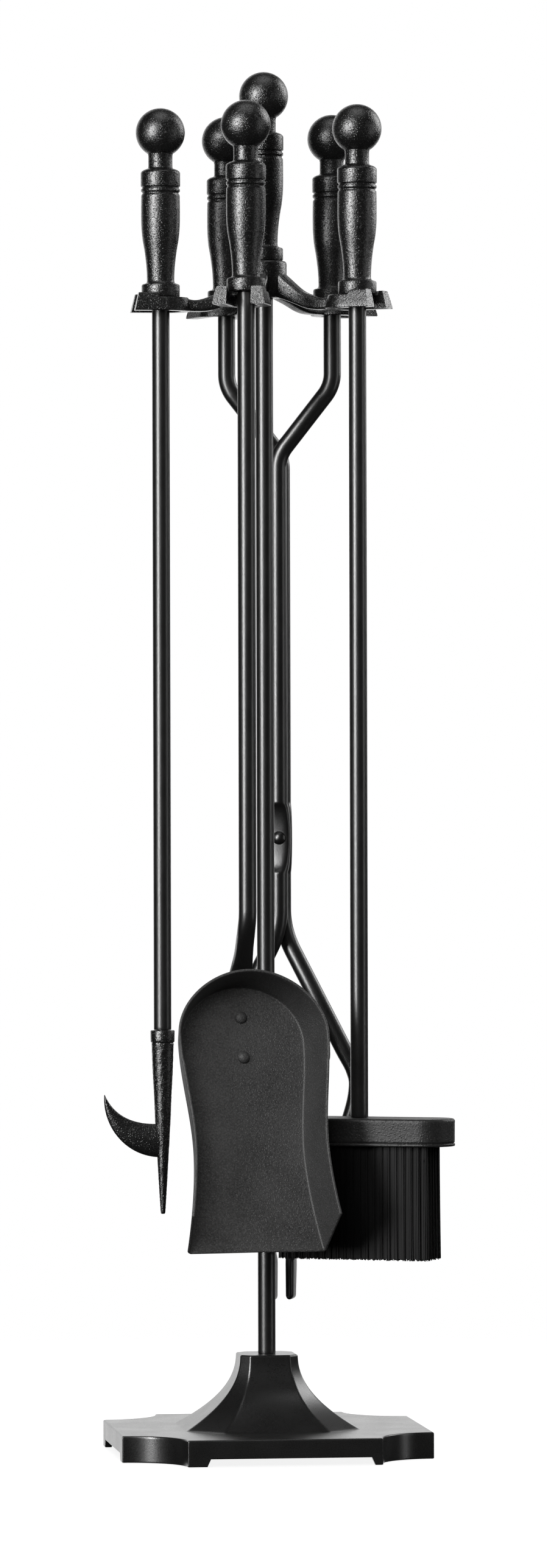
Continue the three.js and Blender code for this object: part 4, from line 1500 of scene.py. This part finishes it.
    def _build_bristles(self) -> None:
        """Makes the bristles: their packed core and every filament round it."""
        shell = Shell().add(moved(self._core(), self._home()))
        shell.add(moved(self._filaments(), self._home()))
        self.make(shell, "brush_tufts", Slot.FIBRE, Body.BRUSH, "brush_bristles", sharp=50)

    def build(self) -> None:
        """Makes the rod, the block and the bristles."""
        thread = self.top + GAP - (self.bottom + 1.5)
        self.rod("brush_bar", "brush_rod", Body.BRUSH, self.top + GAP, ROD_TOP, lower=thread)
        self._build_block()
        self._build_bristles()


@dataclass
class Tongs(Maker):
    """The scissor tongs: two crossed arms that turn on one rivet."""

    bearing: float = 72.0
    handle: float = 31.0
    shoulder: float = 611.0
    join: float = 570.0
    bend: float = 7.0
    part: float = 296.6
    pivot: float = 350.3
    layer: float = 0.2
    paddle: tuple[float, float] = (2.5, 6.2)
    scoop: float = 19.5
    paddle_end: float = 24.0
    claw_u: float = 4.1
    claw_top: float = 107.0
    claw_end: float = 84.0
    claw: tuple[float, float] = (7.5, 2.5)
    claw_tip: tuple[float, float] = (6.6, 2.3)
    claw_round: float = 2.4
    slope: float = 28.3
    lower_run: float = 68.0

    def _line(self) -> np.ndarray:
        """One arm's middle line: handle on the right, jaw on the left, x across and z up.

        Returns:
            The points of the line.
        """
        upper = rounded_path(
            [(self.handle, 0, ROD_TOP), (self.handle, 0, self.shoulder), (0, 0, self.join),
             (0, 0, self.pivot + self.paddle_end + 2)], self.bend, 12,
        )
        z = np.linspace(self.pivot + self.paddle_end, self.pivot - self.paddle_end, 49)
        middle = np.stack([0 * z, 0 * z, z], -1)
        fall = math.tan(math.radians(self.slope))
        leg_end = (-self.lower_run * fall, 0, self.part - self.lower_run)
        lower = rounded_path([(0, 0, self.part + 18), (0, 0, self.part), leg_end], 13, 16)
        bow = spline(
            [(-37.2, 0, 227.5), (-42.8, 0, 217), (-44.6, 0, 207), (-41, 0, 190), (-29, 0, 159),
             (-14.5, 0, 128), (-6.2, 0, 113)], 70,
        )
        straight = np.linspace(self.claw_top, self.claw_end + self.claw_round, 12)
        down = np.concatenate([straight, self.claw_end + np.array([1.3, 0.6, 0.2, 0])])
        claw = np.stack([np.full_like(down, -self.claw_u), 0 * down, down], -1)
        return np.vstack([upper, middle, lower, bow, claw])

    def _grid(self) -> np.ndarray:
        """The arm's surface: round, scooped flat round the pivot and flattened again at the claw.

        The scoop's share is (1 − (distance from the pivot / its half length)²) to the power 0.6.
        Round the pivot each arm keeps to its own side of the middle plane, and further out, where
        the arms have parted, it eases back onto the plane.

        Returns:
            The arm's rings.
        """
        path = self._line()
        z = path[:, 2]
        flat = np.clip(1 - ((z - self.pivot) / self.scoop) ** 2, 0, 1) ** 0.6
        thick = mix(ROD_RADIUS, self.paddle[0], flat)
        wide = mix(ROD_RADIUS, self.paddle[1], flat)
        power = mix(2.0, 3.2, flat)
        clawed = 1 - ease(z, self.claw_top, self.claw_top + 14)
        tip = 1 - ease(z, self.claw_end, self.claw_top)
        thick = mix(thick, mix(self.claw[0], self.claw_tip[0], tip), clawed)
        wide = mix(wide, mix(self.claw[1], self.claw_tip[1], tip), clawed)
        power = mix(power, 4.0, clawed)
        close = self.claw_round - np.clip(z - self.claw_end, 0, self.claw_round)
        round_off = np.sqrt(np.maximum(1 - (close / self.claw_round) ** 2 * 0.93, 0.05))
        apart = ease(np.abs(path[:, 0]), 4, 16)
        path[:, 1] = -(thick + self.layer) * (1 - apart)
        half = np.stack([thick * mix(0.75, 1, round_off), wide * round_off], -1)
        return sweep(path, half, power, sides=56)

    def _home(self, turn: float) -> Matrix:
        """The tongs' own frame, turned half round for the other arm.

        Args:
            turn: 0 for the right arm and 180 for the left.

        Returns:
            The frame as a matrix.
        """
        low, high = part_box("tongs_rivet")
        middle = (low + high) / 2 / MM
        return turn_z(self.bearing - 90 + turn, middle.x, middle.y)

    def build(self) -> None:
        """Makes both arms and the rivet."""
        radius, tip = SPIGOT_RADIUS, ROD_TOP + SPIGOT_LENGTH
        profile = np.array([(0, ROD_TOP), (radius, ROD_TOP), (radius, tip), (0, tip)])
        spigot = moved(lathe(profile, 32), Matrix.Translation((self.handle, 0, 0)))
        for side, turn, body in (("right", 0, Body.TONGS_RIGHT), ("left", 180, Body.TONGS_LEFT)):
            shell = Shell().add(moved(self._grid(), self._home(turn)))
            shell.add(moved(spigot, self._home(turn)), cap=False)
            self.make(shell, f"tongs_bar_{side}", Slot.ROD, body, f"tongs_arm_{side}_handle", sharp=45)
        self._build_rivet()

    def _build_rivet(self) -> None:
        """Makes the rivet with a low dome on both faces."""
        face = 2 * self.paddle[0] + self.layer + GAP
        upper = np.vstack([[(2.5, 0), (2.5, face)], dome(face - 2.2, 4.45, 30, 10)])
        profile = np.vstack([(upper * (1, -1))[:0:-1], upper[1:]])
        lie_down = Matrix.Translation((0, 0, self.pivot)) @ Matrix.Rotation(math.radians(90), 4, "X")
        shell = Shell().add(moved(lathe(profile, 40), self._home(0) @ lie_down), cap=False)
        self.make(shell, "tongs_pivot_rivet", Slot.ROD, Body.TONGS_RIGHT, "tongs_rivet")


# ------------------------------------------------------------------- studio


@dataclass(frozen=True)
class Softbox:
    """A large rectangular light at a bearing and height, facing the middle of the set."""

    name: str
    bearing: float
    distance: float
    height: float
    width: float
    tall: float
    power: float
    glints: bool = True
    washes: bool = True

    def build(self, centre: Vector) -> None:
        """Adds the light. A bearing of 0 is the front, and it grows to the right.

        Args:
            centre: the place it faces.
        """
        data = bpy.data.lights.new(self.name, "AREA")
        data.shape, data.size, data.size_y, data.energy = "RECTANGLE", self.width, self.tall, self.power
        light = bpy.data.objects.new(self.name, data)
        angle = math.radians(self.bearing)
        x = centre.x + self.distance * math.sin(angle)
        y = centre.y - self.distance * math.cos(angle)
        light.location = (x, y, self.height)
        light.rotation_euler = (centre - light.location).to_track_quat("-Z", "Y").to_euler()
        light.visible_glossy, light.visible_diffuse = self.glints, self.washes
        bpy.context.scene.collection.objects.link(light)


@dataclass
class Studio:
    """Camera, lights, white surroundings and a pale floor."""

    lens: float = 170.0
    sensor: float = 36.0
    distance: float = 4.227
    bearing: float = 6.9
    aside: float = 0.00466
    height: float = 0.3814
    roll: float = -0.147
    floor: float = 3.0
    floor_drop: float = 0.0003
    floor_fade: tuple[float, float] = (0.25, 0.9)
    ambient: float = 0.03
    glow: float = 1.5
    glow_cone: tuple[float, float] = (0.80, 0.93)
    aim: float = 0.4
    lights: tuple[Softbox, ...] = (
        Softbox("key_softbox", -50, 2.4, 0.85, 0.55, 1.7, 140, washes=False),
        Softbox("upper_left_softbox", -36, 2.4, 1.8, 0.7, 0.7, 34, washes=False),
        Softbox("fill_softbox", 68, 2.4, 0.6, 0.30, 1.8, 9),
        Softbox("back_right_softbox", 118, 2.2, 1.5, 0.9, 1.6, 34),
        Softbox("top_softbox", 0, 0.25, 2.4, 1.2, 1.2, 10),
        Softbox("front_wash", -16, 2.4, 1.2, 1.2, 1.2, 52, glints=False),
    )

    def _camera(self, pole: Vector) -> None:
        """Sets the camera level, far off, a little to the left of straight ahead.

        Args:
            pole: where the pole stands, in metres.
        """
        data = bpy.data.cameras.new("camera")
        data.lens, data.sensor_width = self.lens, self.sensor
        camera = bpy.data.objects.new("camera", data)
        bpy.context.scene.collection.objects.link(camera)
        t = math.radians(self.bearing)
        right, ahead = Vector((math.cos(t), -math.sin(t), 0)), Vector((math.sin(t), math.cos(t), 0))
        place = Vector((pole.x, pole.y, self.height)) + right * self.aside - ahead * self.distance
        level = ahead.to_track_quat("-Z", "Y").to_matrix().to_4x4()
        tilt = Matrix.Rotation(math.radians(self.roll), 4, "Z")
        camera.matrix_world = Matrix.Translation(place) @ level @ tilt
        bpy.context.scene.camera = camera

    def _world(self) -> None:
        """White to the eye; as a light it is bright only in a narrow cone straight behind the set."""
        world = bpy.data.worlds.new("studio")
        bpy.context.scene.world = world
        tree = NodeTree(world)
        direction = tree.add("ShaderNodeTexCoord", output="Generated")
        away = tree.add("ShaderNodeSeparateXYZ", {}, {0: direction}, output=1)
        bright = self.ambient + away.between(*self.glow_cone) * self.glow
        seen = tree.add("ShaderNodeLightPath", output="Is Camera Ray")
        strength = bright * (1.0 - seen) + seen
        back = tree.add("ShaderNodeBackground", {}, {"Color": grey(1.0), "Strength": strength})
        tree.add("ShaderNodeOutputWorld", {}, {"Surface": back})

    def _ground(self, pole: Vector) -> None:
        """A pale round floor that fades into the white a little way out.

        Args:
            pole: where the pole stands, in metres.
        """
        rings = np.linspace(0.001, 1, 12)[:, None] * self.floor / MM
        angle = np.linspace(0, 2 * math.pi, 64, endpoint=False)
        grid = np.stack([rings * np.cos(angle), rings * np.sin(angle), 0 * rings + 0 * angle], -1)
        mesh = bpy.data.meshes.new("studio_floor")
        rows, columns = grid.shape[:2]
        index = np.arange(rows * columns).reshape(rows, columns)
        ring = np.concatenate([index, index[:, :1]], 1)
        quads = np.stack([ring[:-1, :-1], ring[1:, :-1], ring[1:, 1:], ring[:-1, 1:]], -1).reshape(-1, 4)
        points = grid.reshape(-1, 3) * MM + (pole.x, pole.y, -self.floor_drop)
        mesh.from_pydata(points.tolist(), [], quads.tolist() + [index[0].tolist()])
        floor = bpy.data.objects.new("studio_floor", mesh)
        bpy.context.scene.collection.objects.link(floor)
        material = bpy.data.materials.new("pale_floor")
        tree = NodeTree(material)
        place = tree.add("ShaderNodeTexCoord", output="Object")
        reach = tree.add("ShaderNodeVectorMath", {"operation": "LENGTH"}, {0: place}, output=1)
        grain = tree.noise(place, 60.0, detail=4.0)
        colour = tree.blend(grain, grey(0.20), grey(0.24))
        glow = {"Emission Color": grey(0.97), "Emission Strength": 0.9}
        paint = tree.add("ShaderNodeBsdfPrincipled", {}, {"Base Color": colour, "Roughness": 0.6, **glow})
        clear = tree.add("ShaderNodeBsdfTransparent")
        inputs = {0: reach.between(*self.floor_fade), 1: paint, 2: clear}
        shown = tree.add("ShaderNodeMixShader", {}, inputs)
        tree.add("ShaderNodeOutputMaterial", {}, {"Surface": shown})
        mesh.materials.append(material)
        floor.visible_glossy = floor.visible_diffuse = False

    def build(self, pole: Vector) -> None:
        """Makes the studio round the pole.

        Args:
            pole: where the pole stands, in metres.
        """
        bpy.context.scene.view_settings.view_transform = "Standard"
        self._camera(pole)
        self._world()
        self._ground(pole)
        for light in self.lights:
            light.build(Vector((pole.x, pole.y, self.aim)))


# --------------------------------------------------------------------- set


def dress_fasteners(frame: dict[str, Any], finishes: Finishes, names: Iterable[str]) -> None:
    """Gives the CAD fasteners that keep their own shape a steel finish.

    Args:
        finishes: the materials.
        names: the nodes to dress.
    """
    for name in names:
        node = frame["nodes"][name]
        node.data.materials.clear()
        node.data.materials.append(finishes.get(Slot.STEEL))
        LOG.info("%s dressed", name)


HANDLES = {
    "stand_finial": Body.STAND,
    "poker_handle": Body.POKER,
    "shovel_handle": Body.SHOVEL,
    "brush_handle": Body.BRUSH,
    "tongs_handle_right": Body.TONGS_RIGHT,
    "tongs_handle_left": Body.TONGS_LEFT,
}


def main() -> None:
    """Builds the studio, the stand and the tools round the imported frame."""
    logging.basicConfig(level=logging.INFO, format="%(message)s")
    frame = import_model()
    finishes = Finishes()
    low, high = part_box("pole")
    pole = (low + high) / 2
    at = axis_of("pole")
    Studio().build(pole)
    Base(finishes).build(at)
    Pole(finishes).build()
    Hanger(finishes).build(at)
    for node, body in HANDLES.items():
        BallHandle(finishes).build(node, body)
    Poker(finishes).build()
    Shovel(finishes).build()
    Brush(finishes).build()
    Tongs(finishes).build()
    dress_fasteners(frame, finishes, ("base_bolt", "base_washer", "top_stud", "brush_nut"))


if __name__ == "__main__":
    main()
